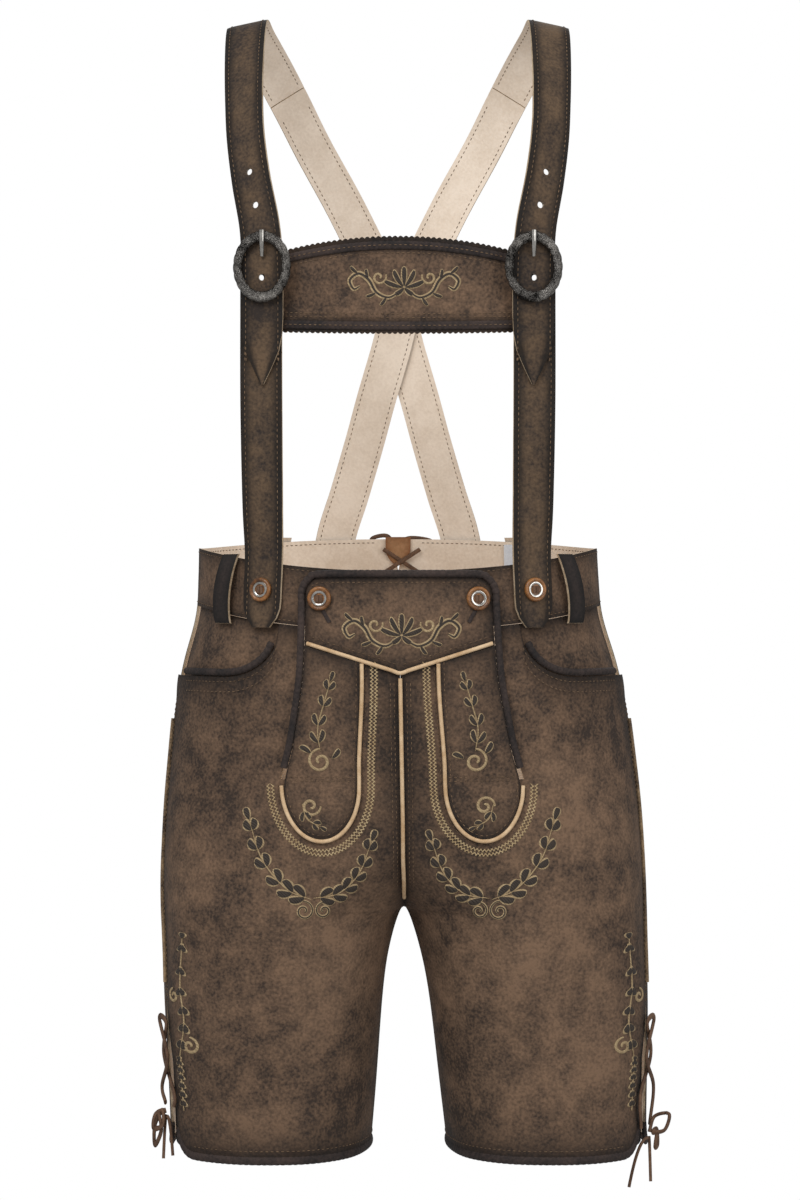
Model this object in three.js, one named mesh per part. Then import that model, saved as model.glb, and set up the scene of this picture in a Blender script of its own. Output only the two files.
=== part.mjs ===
import * as THREE from 'three';

// Lederhosen with shoulder straps and a chest piece, in the hollow form they have when worn.
// Millimetres, +Z up. The front faces -Y and +X is the wearer's left, so names end in _l at +X.
// The origin is midway between the undersides of the straps where they pass over the shoulders.

// ---- driving dimensions ----
const LEATHER = 1.6; // wall of a panel
const STRAP_LEATHER = 2.2;
const SEAM = 0.3; // gap between pieces that meet
const LAYER = 0.5; // gap between a panel and what lies on it
const SQUARENESS = 0.1; // how much fuller than an ellipse a section is

const WAIST_Z = -435; // the waistband's top at the side seams
const FRONT_DIP = 20; // the waistband's top at the centre front is this much lower
const BACK_RISE = 10; // and at the centre back this much higher
const BAND = 47; // height of the waistband
const DIVIDE_Z = -600; // where the two legs' sections start to part
const CROTCH_Z = -730;
const HEM_Z = -925; // lower edge of the leg panels
const HEM_BINDING = 5; // height of the rolled hem below them
const LEG_GAP = 31; // from the midline to a leg's inner side at the hem
const LEAN = 0.018; // the legs hang a little towards +X, in mm for each mm below the waist
const CORNER_ANGLE = 0.3; // width of the rounded corner beside a slit, as an angle round the leg
const CORNER_RISE = 24;
const FLAP_BASE_Z = -621; // where the slits beside the flap end
const FLAP_TOP_Z = -460;
const FLAP_LIFT = 2.4; // the flap's outer face stands this far off the waistband's
const POCKET_GAPE = 2.6; // the pocket mouth stands this far off the facing's plane
const SLIT_TOP_Z = -806; // top of the laced side slit
const SLIT_HALF = 9; // half the slit's width at the hem
const STRAP_HALF = 17; // half the width of a shoulder strap
const TUBE_SIDES = 8;

// Half width and depths of the trousers' section at each height.
const SECTIONS = [
  { z: -415, half: 165, front: 110, back: 112 },
  { z: -460, half: 166.5, front: 111, back: 114 },
  { z: -490, half: 169, front: 112, back: 118 },
  { z: -530, half: 180, front: 113, back: 124 },
  { z: -570, half: 188, front: 113, back: 129 },
  { z: -630, half: 195, front: 111, back: 130 },
  { z: -690, half: 198, front: 107, back: 124 },
  { z: -760, half: 200, front: 102, back: 112 },
  { z: -840, half: 200, front: 98, back: 103 },
  { z: -935, half: 197, front: 95, back: 98 },
];

// Half width of the flap at each height, out to its side slits.
const FLAP_SIDES = [
  { z: -450, half: 73 },
  { z: -510, half: 75 },
  { z: -540, half: 77 },
  { z: -570, half: 81.5 },
  { z: -600, half: 87 },
  { z: -626, half: 94 },
  { z: -700, half: 99 },
];

// The middle line of a shoulder strap, from its tip under the buckle, over the shoulder at +X and
// down the back to the other side; turn is how far its +X edge is turned back, in degrees.
const STRAP_ROUTE = [
  { x: 108, y: -102, z: -306, turn: 10 },
  { x: 108, y: -104, z: -260, turn: 11 },
  { x: 108, y: -106, z: -213, turn: 12 },
  { x: 110, y: -104, z: -180, turn: 20 },
  { x: 117, y: -98, z: -142, turn: 26 },
  { x: 122, y: -87, z: -105, turn: 28 },
  { x: 124, y: -72, z: -72, turn: 26 },
  { x: 125, y: -50, z: -38, turn: 20 },
  { x: 125, y: -25, z: -10, turn: 14 },
  { x: 124, y: 1, z: 0, turn: 12 },
  { x: 119, y: 26, z: -8, turn: 14 },
  { x: 106, y: 53, z: -28, turn: 20 },
  { x: 90, y: 76, z: -56, turn: 24 },
  { x: 72, y: 92, z: -90, turn: 22 },
  { x: 46, y: 104, z: -136, turn: 14 },
  { x: 22, y: 110, z: -184, turn: 6 },
  { x: 3, y: 112, z: -226, turn: 0 },
  { x: -7, y: 112.5, z: -262, turn: 0 },
  { x: -19, y: 112.5, z: -303, turn: 0 },
  { x: -29, y: 112.5, z: -340, turn: -2 },
  { x: -42, y: 112, z: -385, turn: -6 },
  { x: -54, y: 112, z: -424, turn: -10 },
  { x: -61, y: 112.5, z: -470, turn: -12 },
];
const STRAP_JOIN = 11.7; // the row of the route near which the strap is joined
const CROSS_Z = -240; // the middle of the stretch where the straps lie on each other
const CROSS_REACH = 110;
const CROSS_PASS = 3.6; // the strap from the wearer's right passes this much further out there

// The lower front strap, from its tab on the waistband up to under the buckle.
const LOWER_ROUTE = [
  { x: 109, y: -94.6, z: -500, turn: 28 },
  { x: 108, y: -93, z: -470, turn: 27 },
  { x: 107, y: -92.5, z: -440, turn: 26 },
  { x: 108, y: -95, z: -400, turn: 18 },
  { x: 109, y: -98, z: -320, turn: 10 },
  { x: 109, y: -100, z: -240, turn: 11 },
  { x: 109, y: -100.5, z: -196, turn: 12 },
];

const COLORS = {
  suede: [0x5f4b3a, 0.85, 0],
  darkSuede: [0x352b28, 0.8, 0],
  piping: [0xe1c39b, 0.7, 0],
  tan: [0xbe9169, 0.9, 0],
  thong: [0x5a4030, 0.75, 0],
  silver: [0x55504c, 0.4, 1],
  brightSilver: [0xc8c4bc, 0.25, 1],
  horn: [0x9a6a3c, 0.35, 0],
  label: [0xdfe4ea, 0.8, 0],
};

const garment = new THREE.Group();

// ---- numbers along a table ----

const clamp = (value, low = 0, high = 1) => Math.min(high, Math.max(low, value));
const lerp = (a, b, t) => a + (b - a) * t;

function smooth(from, to, value) {
  const t = clamp((value - from) / (to - from));
  return t * t * (3 - 2 * t);
}

// The value of one column at a height, on a smooth curve through the table's rows.
function column(table, name, z) {
  const last = table.length - 1;
  const k = clamp(table.findIndex((row) => row.z <= z), -1, last);
  if (k === 0) return table[0][name];
  if (k < 0) return table[last][name];
  const slope = (i) => {
    const a = table[Math.max(i - 1, 0)];
    const b = table[Math.min(i + 1, last)];
    return (b[name] - a[name]) / (b.z - a.z);
  };
  const from = table[k - 1];
  const to = table[k];
  const span = to.z - from.z;
  const t = (z - from.z) / span;
  const bend = (1 - t) * (1 - t) * t * span * slope(k - 1) - t * t * (1 - t) * span * slope(k);
  return lerp(from[name], to[name], t * t * (3 - 2 * t)) + bend;
}

// ---- the body's surface ----

// One side's section at a height: an outline of radius x depth round a centre that leaves the
// midline between DIVIDE_Z and the crotch, and a ring of its own below the crotch.
function section(z) {
  const half = column(SECTIONS, 'half', z);
  const front = column(SECTIONS, 'front', z);
  const back = column(SECTIONS, 'back', z);
  if (z < CROTCH_Z) {
    const inner = LEG_GAP * ((CROTCH_Z - z) / (CROTCH_Z - HEM_Z)) ** 0.55;
    return { centre: (half + inner) / 2, radius: (half - inner) / 2, front, back };
  }
  const apart = (1 - clamp((z - CROTCH_Z) / (DIVIDE_Z - CROTCH_Z))) ** 1.5;
  const radius = half / (1 + apart);
  return { centre: apart * radius, radius, front, back };
}

const lean = (z) => LEAN * Math.max(0, WAIST_Z - z);

// A point on the outer surface of one side (+1 or -1). The angle is 0 at the outer side, negative
// to the front and positive to the back.
function surface(side, angle, z) {
  const s = section(z);
  const cos = Math.cos(angle);
  const sin = Math.sin(angle);
  const x = s.centre + s.radius * cos * (1 + SQUARENESS * sin * sin);
  const y = (angle < 0 ? s.front : s.back) * sin * (1 + SQUARENESS * cos * cos);
  return new THREE.Vector3(side * x + lean(z), y, z);
}

function outward(side, angle, z) {
  const step = 1e-3;
  const across = surface(side, angle + step, z).sub(surface(side, angle - step, z));
  const down = surface(side, angle, z - 1).sub(surface(side, angle, z + 1));
  return across.cross(down).multiplyScalar(-side).normalize();
}

// The point that lies `out` outside the surface, with its outward direction.
function bodySpot(side, angle, z, out = 0) {
  const normal = outward(side, angle, z);
  return { point: surface(side, angle, z).addScaledVector(normal, out), normal };
}

// The angle where the section crosses a distance x from the midline, on the front or the back.
function angleAt(x, z, face = -1) {
  const s = section(z);
  let low = 0;
  let high = Math.PI;
  for (let i = 0; i < 40; i += 1) {
    const middle = (low + high) / 2;
    const reach = Math.cos(middle) * (1 + SQUARENESS * Math.sin(middle) ** 2);
    if (s.centre + s.radius * reach > x) low = middle;
    else high = middle;
  }
  return (face * (low + high)) / 2;
}

const frontSpot = (x, z, out = 0) => bodySpot(Math.sign(x) || 1, angleAt(Math.abs(x), z), z, out);
const backSpot = (x, z, out = 0) => bodySpot(Math.sign(x) || 1, angleAt(Math.abs(x), z, 1), z, out);

// The angle of a panel's inner edge: the midline, or the inner leg seam below the crotch.
function innerAngle(z, face) {
  const limit = Math.PI - SEAM / 100;
  return face * Math.min(Math.abs(angleAt(SEAM / 2, z, face)), limit);
}

// The side seam runs forward towards the hem, and opens into the slit.
const sideAngle = (z) => -0.14 - 0.28 * smooth(-650, -900, z);

function sideEdge(z, face) {
  const open = SEAM / 2 + SLIT_HALF * smooth(SLIT_TOP_Z, SLIT_TOP_Z - 60, z);
  return sideAngle(z) + (face * open) / section(z).radius;
}

const bandTop = (angle) => WAIST_Z + (angle < 0 ? -FRONT_DIP : BACK_RISE) * Math.sin(angle) ** 2;
const bandBottom = (angle) => bandTop(angle) - BAND;

// The panels' lower edge, which rounds up beside the slit.
function hemAt(angle, z) {
  const away = Math.abs(angle - sideEdge(z, angle < sideAngle(z) ? -1 : 1));
  const corner = clamp(1 - away / CORNER_ANGLE);
  return HEM_Z + CORNER_RISE * (1 - Math.sqrt(1 - 0.96 * corner * corner));
}

// ---- closed walls from grids ----

// A closed wall over a grid of spots, from `inner` to `outer` mm off them along their directions.
// keep(i, j) says which cells of the grid are there.
function wall(spots, inner, outer, keep = () => true) {
  const rows = spots.length;
  const columns = spots[0].length;
  const kept = (i, j) => i >= 0 && j >= 0 && i < rows - 1 && j < columns - 1 && keep(i, j);
  const numbers = new Map();
  const position = [];
  const index = [];
  const corner = (i, j, layer) => {
    const key = `${i},${j},${layer}`;
    if (!numbers.has(key)) {
      const { point, normal } = spots[i][j];
      const place = point.clone().addScaledVector(normal, layer ? outer : inner);
      numbers.set(key, position.length / 3);
      position.push(place.x, place.y, place.z);
    }
    return numbers.get(key);
  };
  const quad = (a, b, c, d) => index.push(a, b, c, a, c, d);
  for (let i = 0; i < rows - 1; i += 1) {
    for (let j = 0; j < columns - 1; j += 1) {
      if (!kept(i, j)) continue;
      const ring = [[i, j], [i, j + 1], [i + 1, j + 1], [i + 1, j]];
      const beyond = [[i - 1, j], [i, j + 1], [i + 1, j], [i, j - 1]];
      quad(...ring.map(([a, b]) => corner(a, b, 1)));
      quad(...ring.map(([a, b]) => corner(a, b, 0)).reverse());
      beyond.forEach(([a, b], side) => {
        if (kept(a, b)) return;
        const p = ring[side];
        const q = ring[(side + 1) % 4];
        quad(corner(...p, 0), corner(...q, 0), corner(...q, 1), corner(...p, 1));
      });
    }
  }
  return closedGeometry(position, index);
}

// A geometry with its faces turned outwards.
function closedGeometry(position, index) {
  const at = (k) => new THREE.Vector3(position[3 * k], position[3 * k + 1], position[3 * k + 2]);
  let volume = 0;
  for (let k = 0; k < index.length; k += 3) {
    volume += at(index[k]).dot(at(index[k + 1]).cross(at(index[k + 2])));
  }
  const geometry = new THREE.BufferGeometry();
  geometry.setAttribute('position', new THREE.Float32BufferAttribute(position, 3));
  geometry.setIndex(volume < 0 ? index.reverse() : index);
  return geometry;
}

// A grid of spots: spot(u, v) with v along the rows and u across them, both from 0 to 1.
function grid(rows, columns, spot) {
  const share = (count) => Array.from({ length: count + 1 }, (_, k) => k / count);
  return share(rows).map((v) => share(columns).map((u) => spot(u, v)));
}

function add(name, geometry, [color, roughness, metalness]) {
  const material = new THREE.MeshStandardMaterial({ color, roughness, metalness });
  const mesh = new THREE.Mesh(geometry, material);
  mesh.name = name;
  garment.add(mesh);
  return mesh;
}

// A round tube along a smooth curve through some points.
function tube(points, radius, steps, sides = TUBE_SIDES) {
  const shape = new THREE.Shape();
  shape.absarc(0, 0, radius, 0, 2 * Math.PI);
  const extrudePath = new THREE.CatmullRomCurve3(points, false, 'centripetal');
  return new THREE.ExtrudeGeometry(shape, { extrudePath, steps, curveSegments: sides / 2 });
}

// ---- straps ----

// A strap's stations along its route: middle point, direction across and outward direction. The
// route is mirrored for side -1, and `pass` moves it outwards where it crosses the other strap.
function stations(route, count, side, from = 0, to = 1, pass = 0) {
  const curve = new THREE.CatmullRomCurve3(route.map((r) => new THREE.Vector3(r.x, r.y, r.z)));
  const found = [];
  for (let k = 0; k <= count; k += 1) {
    const t = lerp(from, to, k / count);
    const point = curve.getPoint(t);
    const tangent = curve.getTangent(t);
    const place = t * (route.length - 1);
    const row = Math.min(Math.floor(place), route.length - 2);
    const turn = lerp(route[row].turn, route[row + 1].turn, place - row);
    const across = new THREE.Vector3(1, 0, 0);
    across.addScaledVector(tangent, -across.dot(tangent)).normalize();
    across.applyAxisAngle(tangent, THREE.MathUtils.degToRad(turn));
    const normal = tangent.clone().cross(across);
    if (normal.dot(outFrom(point)) < 0) normal.negate();
    point.y += pass * Math.exp(-(((point.z - CROSS_Z) / CROSS_REACH) ** 4));
    for (const v of [point, across, normal]) v.x *= side;
    found.push({ point, across, normal });
  }
  return found;
}

// Roughly away from the wearer's middle, to tell a strap's outer face from its inner one.
const outFrom = (point) => new THREE.Vector3(0, point.y, Math.max(0, point.z + 60) * 2);

// A strap wall over stations. ends(t, count) gives the two half widths at a station.
function strap(found, halves, layers) {
  const across = [-1, 1];
  const spots = found.map((s, k) => {
    const half = halves(k, found.length - 1);
    return across.map((edge, e) => ({
      point: s.point.clone().addScaledVector(s.across, edge * half[e]),
      normal: s.normal,
    }));
  });
  return wall(spots, layers[0], layers[1]);
}

// ---- the leg panels ----

const FLAP_CELLS = 4;
// The outer columns, as shares of the way from the slit to the side: closest at the pocket's corner.
const OUTER_SHARES = [0, 0.1, 0.15, 0.21, 0.29, 0.4, 0.55, 0.7, 0.85, 1];
const SLIT_SHARE = 0.016; // width of the slit beside the flap, as a share of a front's width
const UPPER_ROWS = 6;
const SEAT_ROWS = 6;
const LEG_ROWS = 8;
const PANEL_ROWS = UPPER_ROWS + SEAT_ROWS + LEG_ROWS;

const flapHalf = (z) => column(FLAP_SIDES, 'half', z);
const flapLift = (z) => FLAP_LIFT * smooth(FLAP_BASE_Z - 6, FLAP_BASE_Z + 18, z);

// The yoke's V-shaped lower edge.
const YOKE_POINT_Z = -536;
const YOKE_SLOPE = 0.32;
const yokeEdge = (x) => YOKE_POINT_Z + YOKE_SLOPE * Math.abs(x);

// The pocket mouth drops from the waistband in a quarter ellipse, then runs level to the side.
const MOUTH_START_X = 96;
const MOUTH_WIDTH = 44;
const MOUTH_TOP_Z = -502;
const MOUTH_DROP = 38;

function pocketMouth(x) {
  if (x < MOUTH_START_X) return bandBottom(angleAt(x, MOUTH_TOP_Z)) - SEAM;
  const across = clamp((MOUTH_START_X + MOUTH_WIDTH - x) / MOUTH_WIDTH);
  return MOUTH_TOP_Z - MOUTH_DROP * Math.sqrt(1 - across * across);
}

// The height of a panel's row between its top edge and the hem: even down to the flap's base,
// then closer and closer to the crotch from both sides.
function rowHeight(row, top, hem) {
  if (row <= UPPER_ROWS) return lerp(top, FLAP_BASE_Z, row / UPPER_ROWS);
  if (row <= UPPER_ROWS + SEAT_ROWS) {
    return lerp(CROTCH_Z, FLAP_BASE_Z, (1 - (row - UPPER_ROWS) / SEAT_ROWS) ** 2);
  }
  return lerp(CROTCH_Z, hem, ((row - UPPER_ROWS - SEAT_ROWS) / LEG_ROWS) ** 1.6);
}

// The angle of a front's column at a height. Columns up to FLAP_CELLS are the flap's part.
function frontAngle(j, z) {
  const at = Math.max(z, FLAP_BASE_Z);
  const whole = sideEdge(at, -1) - innerAngle(at, -1);
  const slit = (angleAt(flapHalf(at), at) - innerAngle(at, -1)) / whole;
  const beyond = OUTER_SHARES[j - FLAP_CELLS - 1];
  const share = j <= FLAP_CELLS ? (slit * j) / FLAP_CELLS : lerp(slit + SLIT_SHARE, 1, beyond);
  return lerp(innerAngle(z, -1), sideEdge(z, -1), share);
}

// Where a front's column ends at the top: the yoke's edge on the flap, or the pocket mouth.
function columnTop(j) {
  const reach = (z) => surface(1, frontAngle(j, z), z).x - lean(z);
  let x = reach(MOUTH_TOP_Z);
  for (let round = 0; round < 6; round += 1) {
    x = reach(j <= FLAP_CELLS ? yokeEdge(x) : pocketMouth(x));
  }
  return { x, z: j <= FLAP_CELLS ? yokeEdge(x) - SEAM : pocketMouth(x) };
}

function front(side) {
  const columns = FLAP_CELLS + OUTER_SHARES.length;
  const spots = Array.from({ length: PANEL_ROWS + 1 }, (_, i) => (
    Array.from({ length: columns + 1 }, (__, j) => {
      const top = columnTop(j);
      const z = rowHeight(i, top.z, hemAt(frontAngle(j, HEM_Z), HEM_Z));
      const gape = POCKET_GAPE * smooth(86, 104, top.x) * smooth(30, 0, top.z - z);
      return bodySpot(side, frontAngle(j, z), z, j <= FLAP_CELLS ? flapLift(z) : gape);
    })
  ));
  return wall(spots, -LEATHER, 0, (i, j) => i >= UPPER_ROWS || j !== FLAP_CELLS);
}

const BACK_CELLS = 10;

function back(side) {
  const angle = (j, z) => lerp(sideEdge(z, 1), innerAngle(z, 1), j / BACK_CELLS);
  const spots = Array.from({ length: PANEL_ROWS + 1 }, (_, i) => (
    Array.from({ length: BACK_CELLS + 1 }, (__, j) => {
      const top = bandBottom(angle(j, WAIST_Z - BAND)) - SEAM;
      const z = rowHeight(i, top, hemAt(angle(j, HEM_Z), HEM_Z));
      return bodySpot(side, angle(j, z), z);
    })
  ));
  return wall(spots, -LEATHER, 0);
}

// ---- waistband, gusset and label ----

const NOTCH_HALF = 7; // half width of the V at the top of the centre back
const NOTCH_DEPTH = 26;
const INSIDE = -2.8; // where the pieces behind a panel begin

function waistbandFront(side) {
  return wall(grid(2, 10, (u, v) => {
    const angle = lerp(innerAngle(WAIST_Z, -1), sideEdge(WAIST_Z, -1), u);
    return bodySpot(side, angle, lerp(bandTop(angle), bandBottom(angle), v));
  }), -LEATHER, 0);
}

function waistbandBack(side) {
  return wall(grid(4, 10, (u, v) => {
    const nominal = lerp(sideEdge(WAIST_Z, 1), Math.PI / 2, u);
    const z = lerp(bandTop(nominal), bandBottom(nominal), v);
    const notch = SEAM / 2 + NOTCH_HALF * clamp(1 - (v * BAND) / NOTCH_DEPTH);
    return bodySpot(side, lerp(sideEdge(z, 1), angleAt(notch, z, 1), u), z);
  }), -LEATHER, 0);
}

// A shield: straight sides for the upper part, then a point.
function backGusset() {
  const half = 11;
  return wall(grid(6, 4, (u, v) => {
    const width = half * Math.sqrt(1 - 0.97 * clamp((v - 0.45) / 0.55) ** 1.5);
    return backSpot(lerp(-width, width, u), lerp(WAIST_Z + 12, WAIST_Z - 12, v));
  }), INSIDE - LEATHER, INSIDE);
}

function sizeLabel() {
  return wall(grid(2, 3, (u, v) => backSpot(lerp(93, 130, u), lerp(-430, -452, v))), INSIDE - 1, INSIDE);
}

// ---- the flap ----

const FLAP_CORNER = 14; // radius of the flap's top corners
const FLAP_LEVEL = 60; // half the width of its level top edge

function flapTop(x) {
  const beyond = clamp(Math.abs(x) - FLAP_LEVEL, 0, FLAP_CORNER);
  return FLAP_TOP_Z - FLAP_CORNER + Math.sqrt(FLAP_CORNER ** 2 - beyond ** 2);
}

function flapYoke() {
  return wall(grid(4, 14, (u, v) => {
    const nominal = lerp(-1, 1, u) * flapHalf(FLAP_TOP_Z);
    const z = lerp(flapTop(nominal), yokeEdge(nominal) + SEAM, v);
    return frontSpot(lerp(-1, 1, u) * flapHalf(z), z, FLAP_LIFT);
  }), -LEATHER, 0);
}

// The U-shaped side panels: straight sides down to PANEL_BEND_Z, then a half ellipse.
const PANEL_INNER = 36;
const PANEL_OUTER = 94;
const PANEL_BEND_Z = -626;
const PANEL_ROUND = 42;
const PIPING = 1.6; // radius

const panelInner = (z) => PANEL_INNER - 4 * smooth(PANEL_BEND_Z, YOKE_POINT_Z, z);
const panelOuter = (z) => Math.min(PANEL_OUTER, flapHalf(z) - SEAM);

function flapPanel(side) {
  return wall(grid(9, 6, (u, v) => {
    const top = yokeEdge(lerp(PANEL_INNER, flapHalf(YOKE_POINT_Z), u)) - 2 * PIPING;
    const bottom = PANEL_BEND_Z - PANEL_ROUND * Math.sqrt(1 - (2 * u - 1) ** 2);
    const z = lerp(top, bottom, v);
    return frontSpot(side * lerp(panelInner(z), panelOuter(z), u), z, flapLift(z));
  }), LAYER, LAYER + LEATHER);
}

function panelPiping(side) {
  const middle = (PANEL_INNER + PANEL_OUTER) / 2;
  const off = SEAM + PIPING;
  const spots = [];
  for (let z = yokeEdge(PANEL_INNER) - 4; z > PANEL_BEND_Z + 4; z -= 16) {
    spots.push([panelInner(z) - off, z]);
  }
  for (let turn = 0; turn <= Math.PI + 0.01; turn += Math.PI / 10) {
    const x = middle - (middle - PANEL_INNER + off) * Math.cos(turn);
    spots.push([x, PANEL_BEND_Z - (PANEL_ROUND + off) * Math.sin(turn)]);
  }
  const path = spots.map(([x, z]) => frontSpot(side * x, z, flapLift(z) + LAYER + PIPING).point);
  return tube(path, PIPING, 30, 6);
}

function yokePiping() {
  const path = [-73, -50, -28, -8, 0, 8, 28, 50, 73].map((x) => (
    frontSpot(x, yokeEdge(x), FLAP_LIFT + LAYER + PIPING).point
  ));
  return tube(path, PIPING, 16, 6);
}

// The centre front piping lies in the groove between the fronts, as near as its sides let it.
function centerPiping() {
  const path = [];
  for (let z = YOKE_POINT_Z - 2 * PIPING - 1; z > CROTCH_Z + 12; z -= 16) {
    const { point, normal } = frontSpot(0, z);
    const out = new THREE.Vector3(0, normal.y, normal.z);
    const facing = out.length();
    path.push(point.addScaledVector(out.normalize(), flapLift(z) + (LAYER + PIPING) / facing));
  }
  return tube(path, PIPING, 14, 6);
}

const BINDING = 2.6; // radius

function flapBinding() {
  const off = SEAM + BINDING;
  const half = [-612, -590, -565, -540, -515, -490, -478].map((z) => [flapHalf(z) + off, z]);
  for (const turn of [0.1, 0.5, 0.9, 1.3]) {
    const x = FLAP_LEVEL + (FLAP_CORNER + off) * Math.cos(turn);
    half.push([x, FLAP_TOP_Z - FLAP_CORNER + (FLAP_CORNER + off) * Math.sin(turn)]);
  }
  half.push([40, FLAP_TOP_Z + off], [14, FLAP_TOP_Z + off]);
  const path = [...half, ...half.map(([x, z]) => [-x, z]).reverse()];
  return tube(path.map(([x, z]) => frontSpot(x, z, LAYER + BINDING).point), BINDING, 52, 6);
}

// ---- pockets ----

const ROLL = 2.4; // radius of the rolled pocket mouth
const FACING_DEPTH = 20; // how far the facing reaches below the mouth

function pocketFacing(side) {
  return wall(grid(4, 7, (u, v) => {
    const nominal = lerp(angleAt(88, MOUTH_TOP_Z), sideEdge(MOUTH_TOP_Z, -1), u);
    const x = side * (surface(side, nominal, MOUTH_TOP_Z).x - lean(MOUTH_TOP_Z));
    const z = lerp(bandBottom(nominal) - SEAM, pocketMouth(x) - FACING_DEPTH, v);
    return bodySpot(side, lerp(angleAt(88, z), sideEdge(z, -1), u), z);
  }), INSIDE - LEATHER, INSIDE);
}

function pocketEdge(side) {
  const off = ROLL + 4 * SEAM;
  const corner = MOUTH_START_X + MOUTH_WIDTH;
  const spots = [];
  for (let turn = 0.3; turn < 1.4; turn += 0.25) {
    const x = corner - (MOUTH_WIDTH - off) * Math.cos(turn);
    spots.push([x, MOUTH_TOP_Z - (MOUTH_DROP - off) * Math.sin(turn)]);
  }
  for (let x = corner; x < 174; x += 8) spots.push([x, MOUTH_TOP_Z - MOUTH_DROP + off]);
  const path = spots.map(([x, z]) => bodySpot(side, angleAt(x, z), z, ROLL + SEAM).point);
  return tube(path, ROLL, 16, 6);
}

// ---- belt loops ----

const LOOP_HALF = 6;
const LOOP_BULGE = 6;

function beltLoop(side, x, drift, face) {
  const spot = face < 0 ? frontSpot : backSpot;
  const top = face < 0 ? -441 : -424;
  return wall(grid(8, 1, (u, v) => {
    const z = lerp(top, top - 56, v);
    const bulge = LOOP_BULGE * Math.sin(Math.PI * v) ** 0.7;
    return spot(side * (x + drift * v + lerp(-LOOP_HALF, LOOP_HALF, u)), z, LAYER + bulge);
  }), 0, STRAP_LEATHER);
}

// ---- hem, slit and lacing ----

function hemBinding(side) {
  return wall(grid(1, 36, (u, v) => {
    const half = 2 * u;
    const angle = half <= 1
      ? lerp(sideEdge(HEM_Z, -1), -Math.PI, half)
      : lerp(Math.PI, sideEdge(HEM_Z, 1), half - 1);
    return bodySpot(side, angle, hemAt(angle, HEM_Z) - 4 * SEAM - v * HEM_BINDING);
  }), -2, 1.2);
}

function slitTongue(side) {
  return wall(grid(8, 3, (u, v) => {
    const z = lerp(SLIT_TOP_Z + 8, HEM_Z, v);
    const half = (SLIT_HALF + 12) / section(z).radius;
    return bodySpot(side, sideAngle(z) + lerp(-half, half, u), z, INSIDE);
  }), -2 * LEATHER, -LEATHER);
}

function sidePiping(side) {
  const path = [];
  for (let z = -576; z > SLIT_TOP_Z + 2; z -= 24) {
    path.push(bodySpot(side, sideAngle(z), z, LAYER + PIPING).point);
  }
  return tube(path, PIPING, 12, 6);
}

const THONG = 1.3; // radius of the lacing
const LACE_OFF_EDGE = 5; // from the slit's edge to an eyelet

// A point beside the slit: across is -1 on its front edge and +1 on its back edge.
function slitPoint(side, across, z, out) {
  const open = SLIT_HALF * smooth(SLIT_TOP_Z, SLIT_TOP_Z - 60, z) + LACE_OFF_EDGE;
  return bodySpot(side, sideAngle(z) + (across * open) / section(z).radius, z, out).point;
}

function legLace(side, knotZ) {
  const low = LAYER + THONG + 1.3;
  const high = low + 2.8;
  const rows = [
    { across: -0.8, z: knotZ + 4, out: low },
    { across: -1, z: -880, out: low },
    { across: 1, z: -852, out: low },
    { across: -1, z: -824, out: low },
    { across: 1, z: -822, out: high },
    { across: -1, z: -850, out: high },
    { across: 1, z: -878, out: high },
    { across: 0.1, z: knotZ + 5, out: high },
  ];
  return tube(rows.map((r) => slitPoint(side, r.across, r.z, r.out)), THONG, 36, 6);
}

// A bow's two loops: each goes out along its direction and comes back, and the thong passes the
// knot a little further out each time.
function bow(knot, out, loops) {
  const path = [knot.clone()];
  loops.forEach(({ along, spread }, turn) => {
    const base = knot.clone().addScaledVector(out, turn * 3.2);
    path.push(base.clone().addScaledVector(along, 0.5).add(spread));
    path.push(base.clone().add(along).addScaledVector(out, 1));
    path.push(base.clone().addScaledVector(along, 0.5).sub(spread).addScaledVector(out, 2));
    path.push(base.clone().addScaledVector(out, 3.2));
  });
  return tube(path, THONG, 28, 6);
}

// Where each leg's bow is tied and its two free ends, as drops from the knot.
const LEG_BOWS = [
  {
    side: -1, knotZ: -894,
    loops: [
      { along: [-9, -3, -14], spread: [-4, 1, 4] },
      { along: [-6, 12, -30], spread: [-4, 5, 1] },
    ],
    ends: [
      { name: 'a', x: 5, y: -3, z: -36 },
      { name: 'b', x: -2, y: -5, z: -39 },
    ],
  },
  {
    side: 1, knotZ: -912,
    loops: [
      { along: [15, -2, 15], spread: [-3, 2, 5] },
      { along: [4, 14, -12], spread: [2, 4, 6] },
    ],
    ends: [
      { name: 'a', x: -16, y: -3, z: -44 },
      { name: 'b', x: 1, y: -5, z: -40 },
    ],
  },
];

const vector = ([x, y, z]) => new THREE.Vector3(x, y, z);

function laceEnd(knot, out, end, k) {
  const from = knot.clone().add(new THREE.Vector3(0, k ? 3 : -3, -4)).addScaledVector(out, k - 1);
  const path = [0, 0.35, 0.7, 1].map((t) => (
    from.clone().add(new THREE.Vector3(end.x * Math.sqrt(t), end.y * t, (end.z + 4) * t))
  ));
  return tube(path, THONG, 8, 6);
}

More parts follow.
